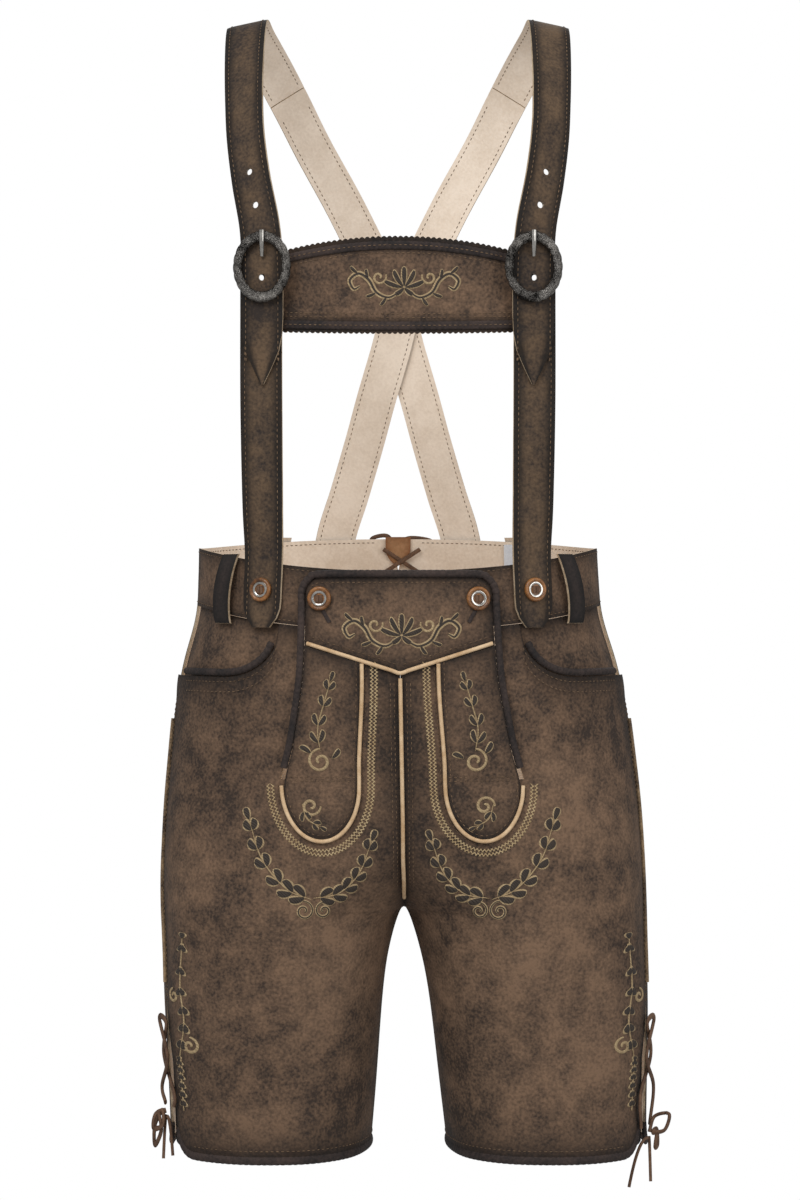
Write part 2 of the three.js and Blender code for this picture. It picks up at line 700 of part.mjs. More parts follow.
// The lacing inside the centre back, as one flat cross. One quarter of its outline is mirrored.
function backLace() {
  const reach = { x: 16, z: 10.5 };
  const half = 1.8;
  const thick = 1.4;
  const slope = Math.atan2(reach.z, reach.x);
  const aside = { x: half * Math.sin(slope), z: half * Math.cos(slope) };
  const quarter = [
    [half / Math.sin(slope), 0],
    [reach.x + aside.x, reach.z - aside.z],
    [reach.x - aside.x, reach.z + aside.z],
    [0, half / Math.cos(slope)],
  ];
  const shape = new THREE.Shape();
  for (const [x, z] of [[1, 1], [-1, 1], [-1, -1], [1, -1]]) {
    const corners = quarter.map(([a, b]) => [a * x, b * z]);
    const ordered = x * z > 0 ? corners : corners.reverse();
    for (const [a, b] of ordered.slice(0, 3)) {
      if (shape.curves.length || shape.currentPoint.length()) shape.lineTo(a, b);
      else shape.moveTo(a, b);
    }
  }
  shape.closePath();
  const flat = new THREE.ExtrudeGeometry(shape, { depth: thick, bevelEnabled: false });
  flat.rotateX(Math.PI / 2);
  const { point } = backSpot(0, WAIST_Z - 9, INSIDE - LEATHER - LAYER - thick);
  flat.translate(3, point.y, point.z);
  return flat;
}

function backBow() {
  const { point, normal } = backSpot(-3, WAIST_Z + 4, LAYER + THONG);
  return bow(point, normal, [
    { along: vector([-20, 0, 6]), spread: vector([3, 0, 6]) },
    { along: vector([32, -2, 4]), spread: vector([-3, 0, 5]) },
  ]);
}

// ---- chest piece ----

const BIB_HALF = 98;
const BIB_DEPTH = 116;
const BIB_ROUND = 178; // half width of the ellipse that the chest piece follows

function bib() {
  return wall(grid(4, 14, (u, v) => {
    const x = lerp(-BIB_HALF, BIB_HALF, u);
    const bend = (x / BIB_HALF) ** 2;
    const z = lerp(-189 - 11 * bend, -267 + 3 * bend, v);
    const y = -BIB_DEPTH * Math.sqrt(1 - (x / BIB_ROUND) ** 2);
    const normal = new THREE.Vector3(x / BIB_ROUND ** 2, y / BIB_DEPTH ** 2, 0).normalize();
    return { point: new THREE.Vector3(x, y, z), normal };
  }), -LEATHER, 0);
}

// ---- straps ----

const routeShare = (row) => row / (STRAP_ROUTE.length - 1);
const full = () => [STRAP_HALF, STRAP_HALF];

// The front end tapers to a point over its first stations, nearer one edge.
function tipHalves(k) {
  const taper = [0.06, 0.45, 0.8, 0.96][k] ?? 1;
  return [STRAP_HALF * taper, STRAP_HALF * taper];
}

function strapFront(side) {
  const found = stations(STRAP_ROUTE, 40, side, 0, routeShare(STRAP_JOIN));
  return strap(found, tipHalves, [0, STRAP_LEATHER]);
}

function strapBack(side) {
  const pass = side < 0 ? CROSS_PASS : 0;
  const found = stations(STRAP_ROUTE, 32, side, routeShare(STRAP_JOIN + 0.02), 1, pass);
  return strap(found, full, [0, STRAP_LEATHER]);
}

function strapLower(side) {
  const found = stations(LOWER_ROUTE, 24, side);
  const halves = (k) => full().map((half) => half * ([0.45, 0.8, 0.97][k] ?? 1));
  return strap(found, halves, [0, STRAP_LEATHER]);
}

// ---- buckles and buttons ----

const BUCKLE = { x: 108, y: -111.6, z: -213, turn: 12, ring: 22, rim: 3.75 };

function addBuckle(name, side) {
  const ring = new THREE.TorusGeometry(BUCKLE.ring, BUCKLE.rim, 6, 20);
  ring.scale(0.914, 1.095, 0.75);
  const mesh = add(name, ring, COLORS.silver);
  mesh.position.set(side * BUCKLE.x, BUCKLE.y, BUCKLE.z);
  mesh.rotation.set(Math.PI / 2, 0, 0);
  mesh.rotateY(side * THREE.MathUtils.degToRad(BUCKLE.turn));
}

function bucklePin(side) {
  const rows = [
    { y: -110.4, z: 9 },
    { y: -113.8, z: 13.5 },
    { y: -116.4, z: 20 },
    { y: -116.6, z: 28.5 },
  ];
  return tube(rows.map((r) => new THREE.Vector3(side * BUCKLE.x, r.y, BUCKLE.z + r.z)), 1.2, 6, 6);
}

const BUTTON_PROFILE = [[0, 0], [9.6, 0], [9.6, 2.6], [8.4, 3.6], [6.4, 2.6], [0, 2.6]];

function addButton(name, point, normal) {
  const profile = BUTTON_PROFILE.map(([x, y]) => new THREE.Vector2(x, y));
  const mesh = add(name, new THREE.LatheGeometry(profile, 12), COLORS.horn);
  mesh.position.copy(point);
  mesh.quaternion.setFromUnitVectors(new THREE.Vector3(0, 1, 0), normal);
}

// The spot on a strap's outer face at a height, near one end of its route.
function strapSpot(route, side, z) {
  const found = stations(route, 400, side);
  const near = found.reduce((a, b) => (Math.abs(b.point.z - z) < Math.abs(a.point.z - z) ? b : a));
  return [near.point.clone().addScaledVector(near.normal, STRAP_LEATHER + LAYER), near.normal];
}

// ---- the whole garment ----

for (const [side, end] of [[-1, 'r'], [1, 'l']]) {
  add(`front_${end}`, front(side), COLORS.suede);
  add(`back_${end}`, back(side), COLORS.suede);
  add(`waistband_front_${end}`, waistbandFront(side), COLORS.suede);
  add(`waistband_back_${end}`, waistbandBack(side), COLORS.suede);
  add(`flap_panel_${end}`, flapPanel(side), COLORS.suede);
  add(`piping_panel_${end}`, panelPiping(side), COLORS.piping);
  add(`pocket_facing_${end}`, pocketFacing(side), COLORS.suede);
  add(`pocket_edge_${end}`, pocketEdge(side), COLORS.darkSuede);
  add(`piping_side_${end}`, sidePiping(side), COLORS.piping);
  add(`belt_loop_front_${end}`, beltLoop(side, 133, 8, -1), COLORS.darkSuede);
  add(`belt_loop_back_${end}`, beltLoop(side, 98, 2, 1), COLORS.darkSuede);
  add(`hem_${end}`, hemBinding(side), COLORS.darkSuede);
  add(`slit_tongue_${end}`, slitTongue(side), COLORS.darkSuede);
  add(`strap_front_${end}`, strapFront(side), COLORS.suede);
  add(`strap_back_${end}`, strapBack(side), COLORS.suede);
  add(`strap_lower_${end}`, strapLower(side), COLORS.suede);
  add(`buckle_pin_${end}`, bucklePin(side), COLORS.brightSilver);
  addBuckle(`buckle_${end}`, side);
  const flapButton = frontSpot(side * 62.5, -477, FLAP_LIFT + LAYER);
  addButton(`button_flap_${end}`, flapButton.point, flapButton.normal);
  addButton(`button_strap_${end}`, ...strapSpot(LOWER_ROUTE, side, -470));
}

// A strap's back end is on the other side of the body from its shoulder.
addButton('button_back_r', ...strapSpot(STRAP_ROUTE.slice(-5), 1, -454));
addButton('button_back_l', ...strapSpot(STRAP_ROUTE.slice(-5), -1, -454));

for (const { side, knotZ, loops, ends } of LEG_BOWS) {
  const end = side < 0 ? 'r' : 'l';
  const knot = slitPoint(side, -0.3, knotZ, LAYER + THONG + 5.6);
  const out = outward(side, sideAngle(knotZ), knotZ);
  const turned = loops.map((loop) => ({ along: vector(loop.along), spread: vector(loop.spread) }));
  add(`leg_lace_${end}`, legLace(side, knotZ), COLORS.thong);
  add(`leg_bow_${end}`, bow(knot, out, turned), COLORS.thong);
  ends.forEach((drop, k) => {
    add(`lace_end_${end}_${drop.name}`, laceEnd(knot, out, drop, k), COLORS.thong);
  });
}

add('back_gusset', backGusset(), COLORS.tan);
add('back_lace', backLace(), COLORS.thong);
add('back_bow', backBow(), COLORS.thong);
add('size_label', sizeLabel(), COLORS.label);
add('flap_yoke', flapYoke(), COLORS.suede);
add('flap_binding', flapBinding(), COLORS.darkSuede);
add('piping_yoke', yokePiping(), COLORS.piping);
add('piping_center', centerPiping(), COLORS.piping);
add('bib', bib(), COLORS.suede);

export default garment;
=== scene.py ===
import bpy
import numpy as np
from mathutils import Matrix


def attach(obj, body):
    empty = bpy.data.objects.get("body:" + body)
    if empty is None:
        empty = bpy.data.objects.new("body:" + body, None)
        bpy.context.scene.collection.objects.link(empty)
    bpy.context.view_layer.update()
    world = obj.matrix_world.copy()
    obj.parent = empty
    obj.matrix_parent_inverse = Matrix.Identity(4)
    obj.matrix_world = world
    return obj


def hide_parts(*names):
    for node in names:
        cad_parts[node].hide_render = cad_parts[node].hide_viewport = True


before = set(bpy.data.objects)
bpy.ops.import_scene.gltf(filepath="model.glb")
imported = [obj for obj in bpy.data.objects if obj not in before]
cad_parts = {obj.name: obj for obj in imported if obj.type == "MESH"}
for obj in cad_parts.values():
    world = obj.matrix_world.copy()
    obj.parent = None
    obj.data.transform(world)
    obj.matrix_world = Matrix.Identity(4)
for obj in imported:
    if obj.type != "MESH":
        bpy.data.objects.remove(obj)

# Lederhosen in their worn form. Shapes are worked out in millimetres and stored in metres.
# The front faces -Y, +X is the wearer's left, and the origin is at the top of the shoulders.

MM = 0.001
SEAM = 0.3  # gap between pieces that meet
LAYER = 0.5  # gap between a panel and what lies on it
LEATHER = 1.6
STRAP_LEATHER = 2.2
SQUARENESS = 0.1  # how much fuller than an ellipse a section is
SKIN = 0.2  # stitches lie this far off the leather
WAIST_Z, BAND, FRONT_DIP, BACK_RISE = -435, 47, 20, 10
BAND_MIDDLE_Z = -450.0
DIVIDE_Z, CROTCH_Z, HEM_Z = -600, -730, -925
LEG_GAP, LEAN = 31, 0.018
CORNER_ANGLE, CORNER_RISE = 0.3, 24
FLAP_BASE_Z, FLAP_TOP_Z, FLAP_LIFT = -621, -460, 2.4
POCKET_GAPE = 2.6
SLIT_TOP_Z, SLIT_HALF, SLIT_SHARE = -806, 9, 0.016
STRAP_HALF = 17
INSIDE = -2.8  # where the pieces behind a panel begin
PIPING, BINDING, ROLL, THONG = 1.6, 2.6, 2.4, 1.3  # radii that set where a tube's middle lies
FULL_BINDING, FULL_ROLL, HEM_ROLL = 3.1, 3.0, 3.6  # radii of the dark tubes themselves

FLAP_LEVEL, FLAP_CORNER = 60, 14  # half the flap's level top, and the radius of its corners
YOKE_POINT_Z, YOKE_SLOPE = -536, 0.32
PANEL_INNER, PANEL_OUTER, PANEL_SPREAD = 36, 94, 4
PANEL_BEND_Z, PANEL_ROUND = -626, 42
PANEL_MIDDLE = (PANEL_INNER + PANEL_OUTER) / 2
MOUTH_START_X, MOUTH_WIDTH, MOUTH_TOP_Z, MOUTH_DROP = 96, 44, -502, 38
MOUTH_CORNER_X = MOUTH_START_X + MOUTH_WIDTH
FACING_X, FACING_DEPTH = 88, 20
NOTCH_HALF, NOTCH_DEPTH = 7, 26  # the V at the top of the centre back
TONGUE_BESIDE = 12  # how far the slit's tongue reaches behind each edge
EYELET_OFF = 5
BIB_HALF, BIB_DEPTH, BIB_ROUND = 98, 116, 178
BIB_TOP_Z, BIB_TOP_FALL, BIB_LOW_Z, BIB_LOW_RISE = -189, 11, -267, 3
PINKING, PINKING_STEP = 1.4, 4.4
BUCKLE_X, BUCKLE_Y, BUCKLE_Z, BUCKLE_TURN, BUCKLE_RING = 108, -111.6, -213, 12, 22
BUCKLE_WIDE, BUCKLE_TALL = 0.914, 1.095

SIDES = ((-1, "r"), (1, "l"))

# Height, half width, front depth and back depth of the trousers' section.
SECTIONS = np.array([
    (-415, 165, 110, 112), (-460, 166.5, 111, 114), (-490, 169, 112, 118), (-530, 180, 113, 124),
    (-570, 188, 113, 129), (-630, 195, 111, 130), (-690, 198, 107, 124), (-760, 200, 102, 112),
    (-840, 200, 98, 103), (-935, 197, 95, 98)], float)
# Height and half width of the flap.
FLAP_SIDES = np.array([
    (-450, 73), (-510, 75), (-540, 77), (-570, 81.5), (-600, 87), (-626, 94), (-700, 99)], float)
# Middle line of a strap (x, y, z) and how far it is turned, from the tip to the back waistband.
STRAP_ROUTE = np.array([
    (108, -102, -306, 10), (108, -104, -260, 11), (108, -106, -213, 12), (110, -104, -180, 20),
    (117, -98, -142, 26), (122, -87, -105, 28), (124, -72, -72, 26), (125, -50, -38, 20),
    (125, -25, -10, 14), (124, 1, 0, 12), (119, 26, -8, 14), (106, 53, -28, 20),
    (90, 76, -56, 24), (72, 92, -90, 22), (46, 104, -136, 14), (22, 110, -184, 6),
    (3, 112, -226, 0), (-7, 112.5, -262, 0), (-19, 112.5, -303, 0), (-29, 112.5, -340, -2),
    (-42, 112, -385, -6), (-54, 112, -424, -10), (-61, 112.5, -470, -12)], float)
LOWER_ROUTE = np.array([
    (109, -94.6, -500, 28), (108, -93, -470, 27), (107, -92.5, -440, 26), (108, -95, -400, 18),
    (109, -98, -320, 10), (109, -100, -240, 11), (109, -100.5, -196, 12)], float)
STRAP_JOIN, CROSS_Z, CROSS_REACH, CROSS_PASS = 11.7, -240, 110, 3.6


# ---- numbers ----

def lerp(a, b, t):
    """a at t = 0, b at t = 1, and evenly between."""
    return a + (b - a) * t


def smooth(start, end, value):
    """0 before start, 1 after end, and 3t^2 - 2t^3 between."""
    t = np.clip((value - start) / (end - start), 0, 1)
    return t * t * (3 - 2 * t)


def unit(v):
    """Vectors over their lengths."""
    return v / np.maximum(np.linalg.norm(v, axis=-1, keepdims=True), 1e-9)


def column(table, k, z):
    """Column k of a table at height z: cubic Hermite pieces through its rows."""
    rows, values = -table[:, 0], table[:, k]
    z = np.clip(-np.asarray(z, float), rows[0], rows[-1])
    ends = np.arange(len(rows))
    low, high = np.maximum(ends - 1, 0), np.minimum(ends + 1, len(rows) - 1)
    slopes = (values[high] - values[low]) / (rows[high] - rows[low])
    i = np.clip(np.searchsorted(rows, z, side="right") - 1, 0, len(rows) - 2)
    span = rows[i + 1] - rows[i]
    t = (z - rows[i]) / span
    ease = t * t * (3 - 2 * t)
    bend = (1 - t) ** 2 * t * span * slopes[i] - t * t * (1 - t) * span * slopes[i + 1]
    return lerp(values[i], values[i + 1], ease) + bend


# ---- the body's surface ----

def section(z):
    """Centre, radius and depths of one side's section: half an outline above the crotch, whose centre
    leaves the midline from DIVIDE_Z down, and a ring of its own below."""
    z = np.asarray(z, float)
    half, front, back = (column(SECTIONS, k, z) for k in (1, 2, 3))
    inner = LEG_GAP * np.clip((CROTCH_Z - z) / (CROTCH_Z - HEM_Z), 0, None) ** 0.55
    apart = (1 - np.clip((z - CROTCH_Z) / (DIVIDE_Z - CROTCH_Z), 0, 1)) ** 1.5
    upper = half / (1 + apart)
    below = z < CROTCH_Z
    return (np.where(below, (half + inner) / 2, apart * upper),
            np.where(below, (half - inner) / 2, upper), front, back)


def lean(z):
    """The legs' drift towards +X, even with the depth below the waist."""
    return LEAN * np.maximum(0, WAIST_Z - np.asarray(z, float))


def surface(side, angle, z):
    """x = centre + radius cos(1 + k sin^2), y = depth sin(1 + k cos^2) at an angle round the section."""
    centre, radius, front, back = section(z)
    cos, sin = np.cos(angle), np.sin(angle)
    x = centre + radius * cos * (1 + SQUARENESS * sin * sin)
    y = np.where(angle < 0, front, back) * sin * (1 + SQUARENESS * cos * cos)
    return np.stack(np.broadcast_arrays(side * x + lean(z), y, z), -1)


def ripple(side, angle, z):
    """Soft folds below the waistband: three crossing waves, strongest at the crotch and the knees."""
    low = smooth(-500, -620, z) * (0.5 + 0.9 * np.exp(-((z + 735) / 60) ** 2))
    waves = (np.sin(5 * angle + 0.021 * z + side) + np.sin(0.045 * z - 3 * angle)
             + 0.6 * np.sin(11 * angle + 0.03 * z))
    return 0.55 * low * waves


def body_spot(side, angle, z, out=0.0):
    """The point `out` outside the surface, and the outward direction there."""
    angle, z = np.broadcast_arrays(np.asarray(angle, float), np.asarray(z, float))
    side = np.broadcast_to(side, z.shape)
    step = 1e-3
    across = surface(side, angle + step, z) - surface(side, angle - step, z)
    down = surface(side, angle, z - 1) - surface(side, angle, z + 1)
    normal = unit(np.cross(across, down)) * -side[..., None]
    lift = np.asarray(out + ripple(side, angle, z))[..., None]
    return surface(side, angle, z) + normal * lift, normal


def angle_at(x, z, face=-1):
    """The angle where the section is x from the midline, found by halving."""
    x, z = np.broadcast_arrays(np.asarray(x, float), np.asarray(z, float))
    centre, radius = section(z)[:2]
    low, high = np.zeros(x.shape), np.full(x.shape, np.pi)
    for _ in range(32):
        middle = (low + high) / 2
        reach = centre + radius * np.cos(middle) * (1 + SQUARENESS * np.sin(middle) ** 2)
        low, high = np.where(reach > x, middle, low), np.where(reach > x, high, middle)
    return face * (low + high) / 2


def front_spot(x, z, out=0.0, face=-1):
    """The spot at x from the midline, before the legs' lean."""
    x, z = np.broadcast_arrays(np.asarray(x, float), np.asarray(z, float))
    side = np.where(x < 0, -1, 1)
    return body_spot(side, angle_at(np.abs(x), z, face), z, out)


def inner_angle(z, face):
    """The midline's angle, or the inner leg seam's below the crotch."""
    limit = np.pi - SEAM / 100
    return face * np.minimum(np.abs(angle_at(SEAM / 2, z, face)), limit)


def side_angle(z):
    """The side seam's angle, which runs forward towards the hem."""
    return -0.14 - 0.28 * smooth(-650, -900, z)


def side_edge(z, face):
    """The side seam's angle with half a seam, or half the slit's width over the radius, added."""
    opening = SEAM / 2 + SLIT_HALF * smooth(SLIT_TOP_Z, SLIT_TOP_Z - 60, z)
    return side_angle(z) + face * opening / section(z)[1]


def band_top(angle):
    """The waistband's top: WAIST_Z at the sides, moved by the dip or the rise times sin^2."""
    return WAIST_Z + np.where(angle < 0, -FRONT_DIP, BACK_RISE) * np.sin(angle) ** 2


def hem_at(angle, z):
    """The hem's height, which rounds up beside the slit as 1 - sqrt(1 - 0.96 corner^2)."""
    away = np.abs(angle - np.where(angle < side_angle(z), side_edge(z, -1), side_edge(z, 1)))
    corner = np.clip(1 - away / CORNER_ANGLE, 0, 1)
    return HEM_Z + CORNER_RISE * (1 - np.sqrt(1 - 0.96 * corner * corner))


def flap_half(z):
    """Half the flap's width, read from its table."""
    return column(FLAP_SIDES, 1, z)


def flap_lift(z):
    """How far the flap stands off the body: 0 at its base, rising smoothly to FLAP_LIFT above it."""
    return FLAP_LIFT * smooth(FLAP_BASE_Z - 6, FLAP_BASE_Z + 18, z)


def yoke_edge(x):
    """The yoke's V-shaped lower edge."""
    return YOKE_POINT_Z + YOKE_SLOPE * np.abs(x)


def flap_top(x):
    """The flap's top: level, then a quarter circle down at each corner."""
    beyond = np.clip(np.abs(x) - FLAP_LEVEL, 0, FLAP_CORNER)
    return FLAP_TOP_Z - FLAP_CORNER + np.sqrt(FLAP_CORNER ** 2 - beyond ** 2)


def panel_inner(z):
    """The inner edge of the flap's side panel, which spreads a little towards the top."""
    return PANEL_INNER - PANEL_SPREAD * smooth(PANEL_BEND_Z, YOKE_POINT_Z, z)


def pocket_mouth(x):
    """Level with the waistband up to its start, then a quarter ellipse down to a level side part."""
    across = np.clip((MOUTH_CORNER_X - x) / MOUTH_WIDTH, 0, 1)
    return np.where(x < MOUTH_START_X, band_top(angle_at(x, MOUTH_TOP_Z)) - BAND - SEAM,
                    MOUTH_TOP_Z - MOUTH_DROP * np.sqrt(1 - across * across))


# ---- materials ----

def linear(code):
    """A colour's red, green and blue as linear light, with full alpha."""
    c = np.array([code >> 16 & 255, code >> 8 & 255, code & 255]) / 255
    return (*np.where(c <= 0.04045, c / 12.92, ((c + 0.055) / 1.055) ** 2.4), 1.0)


def add_node(tree, kind, inputs=(), **settings):
    """A node with its settings, and its inputs set to numbers or linked from sockets."""
    node = tree.nodes.new(kind)
    for name, value in settings.items():
        setattr(node, name, value)
    for key, value in dict(inputs).items():
        if isinstance(value, bpy.types.NodeSocket):
            tree.links.new(value, node.inputs[key])
        else:
            node.inputs[key].default_value = value
    return node


def hide_group():
    """Mottled hide: two colours mixed by coarse and fine noise, darkened by the Edge mask, a painted shade
    along borders and seams that also stands for worn edges.
    """
    tree = bpy.data.node_groups.new("Hide", "ShaderNodeTree")
    for name, kind in (("Light", "NodeSocketColor"), ("Dark", "NodeSocketColor"),
                       ("Edge", "NodeSocketFloat"), ("Scale", "NodeSocketFloat")):
        tree.interface.new_socket(name=name, in_out="INPUT", socket_type=kind)
    for name, kind in (("Color", "NodeSocketColor"), ("Roughness", "NodeSocketFloat"),
                       ("Height", "NodeSocketFloat")):
        tree.interface.new_socket(name=name, in_out="OUTPUT", socket_type=kind)
    given = tree.nodes.new("NodeGroupInput").outputs
    place = add_node(tree, "ShaderNodeTexCoord").outputs["Object"]
    sized = add_node(tree, "ShaderNodeVectorMath", {0: place, "Scale": given["Scale"]},
                     operation="SCALE")

    def noise(scale, detail):
        made = add_node(tree, "ShaderNodeTexNoise",
                        {"Vector": sized.outputs[0], "Scale": scale, "Detail": detail})
        return made.outputs[0]

    def calc(operation, a, b):
        return add_node(tree, "ShaderNodeMath", {0: a, 1: b}, operation=operation).outputs[0]

    coarse, middle, fine = noise(11, 3), noise(60, 6), noise(420, 4)
    blend = calc("ADD", calc("MULTIPLY", coarse, 0.36), calc("MULTIPLY", middle, 0.32))
    blend = calc("ADD", blend, calc("MULTIPLY", fine, 0.32))
    spread = add_node(tree, "ShaderNodeMapRange", {0: blend, 1: 0.4, 2: 0.6}).outputs[0]
    color = add_node(tree, "ShaderNodeMix", {0: spread, 6: given["Dark"], 7: given["Light"]},
                     data_type="RGBA")
    # painted shade: the Edge mask, broken up by noise, darkens the colour near borders and seams, standing
    # for shade there together with worn edges
    wear_and_painted_shade = calc("MINIMUM", calc("MULTIPLY", given["Edge"], calc("ADD", 0.3, middle)), 0.86)
    shade = add_node(tree, "ShaderNodeMix", {0: wear_and_painted_shade, 6: color.outputs[2], 7: given["Dark"]},
                     data_type="RGBA", blend_type="MULTIPLY")
    out = tree.nodes.new("NodeGroupOutput").inputs
    tree.links.new(shade.outputs[2], out["Color"])
    tree.links.new(add_node(tree, "ShaderNodeMapRange", {0: middle, 3: 0.75, 4: 0.98}).outputs[0],
                   out["Roughness"])
    tree.links.new(calc("ADD", calc("MULTIPLY", fine, 0.6), calc("MULTIPLY", middle, 0.8)), out["Height"])
    return tree


HIDE = hide_group()
HOLE = 2.6  # radius of a punched hole


def hide_material(name, light, dark, bump=0.0006, scale=1.0, edge=None, metal=0.0, rough=None,
                  holes=()):
    """A hide with its colours. edge names the attribute that darkens it, and holes are punched by
    clearing the alpha within HOLE of each spot (across, height) of the strap."""
    made = bpy.data.materials.new(name)
    made.use_nodes = True
    tree = made.node_tree
    shader = next(n for n in tree.nodes if n.type == "BSDF_PRINCIPLED")
    inputs = {"Light": linear(light), "Dark": linear(dark), "Scale": scale, "Edge": 0.0}
    # the edge attribute brings in the painted shade along borders and seams, partly worn darkening
    if edge:
        inputs["Edge"] = add_node(tree, "ShaderNodeAttribute", attribute_name=edge).outputs["Fac"]
    hide = add_node(tree, "ShaderNodeGroup", node_tree=HIDE)
    for key, value in inputs.items():
        if isinstance(value, bpy.types.NodeSocket):
            tree.links.new(value, hide.inputs[key])
        else:
            hide.inputs[key].default_value = value
    tree.links.new(hide.outputs["Color"], shader.inputs["Base Color"])
    if rough is None:
        tree.links.new(hide.outputs["Roughness"], shader.inputs["Roughness"])
    else:
        shader.inputs["Roughness"].default_value = rough
    shader.inputs["Metallic"].default_value = metal
    relief = add_node(tree, "ShaderNodeBump",
                      {"Height": hide.outputs["Height"], "Distance": bump, "Strength": 0.8})
    tree.links.new(relief.outputs["Normal"], shader.inputs["Normal"])
    alpha = None
    for across, height in holes:
        u = add_node(tree, "ShaderNodeAttribute", attribute_name="across").outputs["Fac"]
        v = add_node(tree, "ShaderNodeAttribute", attribute_name="height").outputs["Fac"]
        spot = add_node(tree, "ShaderNodeCombineXYZ", {0: u, 1: v}).outputs[0]
        away = add_node(tree, "ShaderNodeVectorMath", {0: spot, 1: (across, height, 0)},
                        operation="DISTANCE").outputs["Value"]
        clear = add_node(tree, "ShaderNodeMath", {0: away, 1: HOLE}, operation="GREATER_THAN").outputs[0]
        alpha = clear if alpha is None else add_node(
            tree, "ShaderNodeMath", {0: alpha, 1: clear}, operation="MULTIPLY").outputs[0]
    if alpha is not None:
        tree.links.new(alpha, shader.inputs["Alpha"])
    return made


def thread_material(name, light, dark):
    """Embroidery: a dark filling that turns to the light thread where the edge attribute is high, in
    fine slanted rows."""
    made = bpy.data.materials.new(name)
    made.use_nodes = True
    tree = made.node_tree
    shader = next(n for n in tree.nodes if n.type == "BSDF_PRINCIPLED")
    edge = add_node(tree, "ShaderNodeAttribute", attribute_name="edge").outputs["Fac"]
    rim = add_node(tree, "ShaderNodeMapRange", {0: edge, 1: 0.42, 2: 0.5}).outputs[0]
    place = add_node(tree, "ShaderNodeTexCoord").outputs["Object"]
    rows = add_node(tree, "ShaderNodeTexWave", {"Vector": place, "Scale": 260, "Distortion": 3},
                    bands_direction="DIAGONAL")
    wear_and_painted_shade = add_node(tree, "ShaderNodeTexNoise", {"Vector": place, "Scale": 300}).outputs[0]
    pale = add_node(tree, "ShaderNodeMix", {0: wear_and_painted_shade, 6: linear(light), 7: linear(0x8f7656)},
                    data_type="RGBA").outputs[2]
    deep = add_node(tree, "ShaderNodeMix", {0: wear_and_painted_shade, 6: linear(dark), 7: linear(0x453a30)},
                    data_type="RGBA").outputs[2]
    color = add_node(tree, "ShaderNodeMix", {0: rim, 6: deep, 7: pale}, data_type="RGBA").outputs[2]
    tree.links.new(color, shader.inputs["Base Color"])
    shader.inputs["Roughness"].default_value = 0.75
    relief = add_node(tree, "ShaderNodeBump", {"Height": rows.outputs["Fac"], "Distance": 0.0004})
    tree.links.new(relief.outputs["Normal"], shader.inputs["Normal"])
    return made


# materials that read the edge attribute are darkened near borders and seams by painted shade, partly worn
# darkening
SUEDE = hide_material("suede", 0x80654f, 0x35281f, edge="edge", bump=0.0014)
STRAP_HOLES = ((0, -136), (0, -163), (0, -221))
STRAP = hide_material("strap_suede", 0x69543f, 0x2c221c, edge="edge", bump=0.0012,
                      holes=STRAP_HOLES)
DARK = hide_material("dark_suede", 0x453833, 0x1d1716, edge="edge", bump=0.001)
# the side piping is coloured brown, darker than the cream piping elsewhere
BROWN_PIPING = hide_material("brown_piping", 0xa88c6a, 0x3a2c22, bump=0.0003, scale=1.5)
INNER = hide_material("inside_suede", 0xf6e6d4, 0xe2cfba, bump=0.0004)
INNER_STRAP = hide_material("inside_strap", 0xf8e8d6, 0xe6d4c0, bump=0.0004,
                            holes=STRAP_HOLES)
BACK_STRAP = hide_material("back_strap_suede", 0x69543f, 0x2c221c, edge="edge", bump=0.0012)
INNER_BACK_STRAP = hide_material("inside_back_strap", 0xf8e8d6, 0xe6d4c0, bump=0.0004)
CUT = hide_material("cut_edge", 0xd8c2a4, 0x9d8466, scale=3)
CREAM = hide_material("cream_piping", 0xe8caa4, 0xc4a076, bump=0.0003, scale=3)
TAN = hide_material("tan_suede", 0xc79c74, 0xa88058, edge="edge")
LACE = hide_material("lacing", 0x775a45, 0x452f22, bump=0.0003, scale=3)
SILVER = hide_material("blackened_silver", 0x8f8b86, 0x0b0a0a, bump=0.003, scale=2.2, metal=1.0,
                       rough=0.33)
BRIGHT = hide_material("bright_silver", 0xdedbd5, 0xa09c96, bump=0.0001, scale=4, metal=1.0,
                       rough=0.2)
HORN = hide_material("horn", 0xa8713e, 0x4a2c18, bump=0.0002, scale=4, rough=0.3)
LABEL = hide_material("label_weave", 0xe6eaf0, 0xd2d8e2, bump=0.0003, scale=6)
THREAD = hide_material("thread", 0xcdb78f, 0xa98f68, bump=0.0003, scale=6)
DARK_THREAD = hide_material("dark_thread", 0x8a7056, 0x4e3c2d, bump=0.0003, scale=6)
FLORAL = thread_material("embroidery", 0xccb48a, 0x2c2521)


# ---- meshes ----

def make_object(name, vertices, faces, materials, kinds=None, values=None, sharp=0.7):
    """An object from points in millimetres and faces. kinds numbers each face's material, values are
    named numbers on the points, and edges turned by more than `sharp` stay sharp."""
    mesh = bpy.data.meshes.new(name)
    mesh.from_pydata((np.asarray(vertices) * MM).tolist(), [], [f.tolist() for f in faces])
    for made in materials:
        mesh.materials.append(made)
    if kinds is not None:
        mesh.polygons.foreach_set("material_index", np.asarray(kinds, np.int32))
    for key, value in (values or {}).items():
        mesh.attributes.new(key, "FLOAT", "POINT").data.foreach_set("value", np.asarray(value, np.float32))
    mesh.shade_smooth()
    mesh.set_sharp_from_angle(angle=sharp)
    obj = bpy.data.objects.new(name, mesh)
    bpy.context.collection.objects.link(obj)
    return obj


def lengths(points, axis):
    """The distance from each point to the next along an axis of the grid."""
    return np.linalg.norm(np.diff(points, axis=axis), axis=-1)


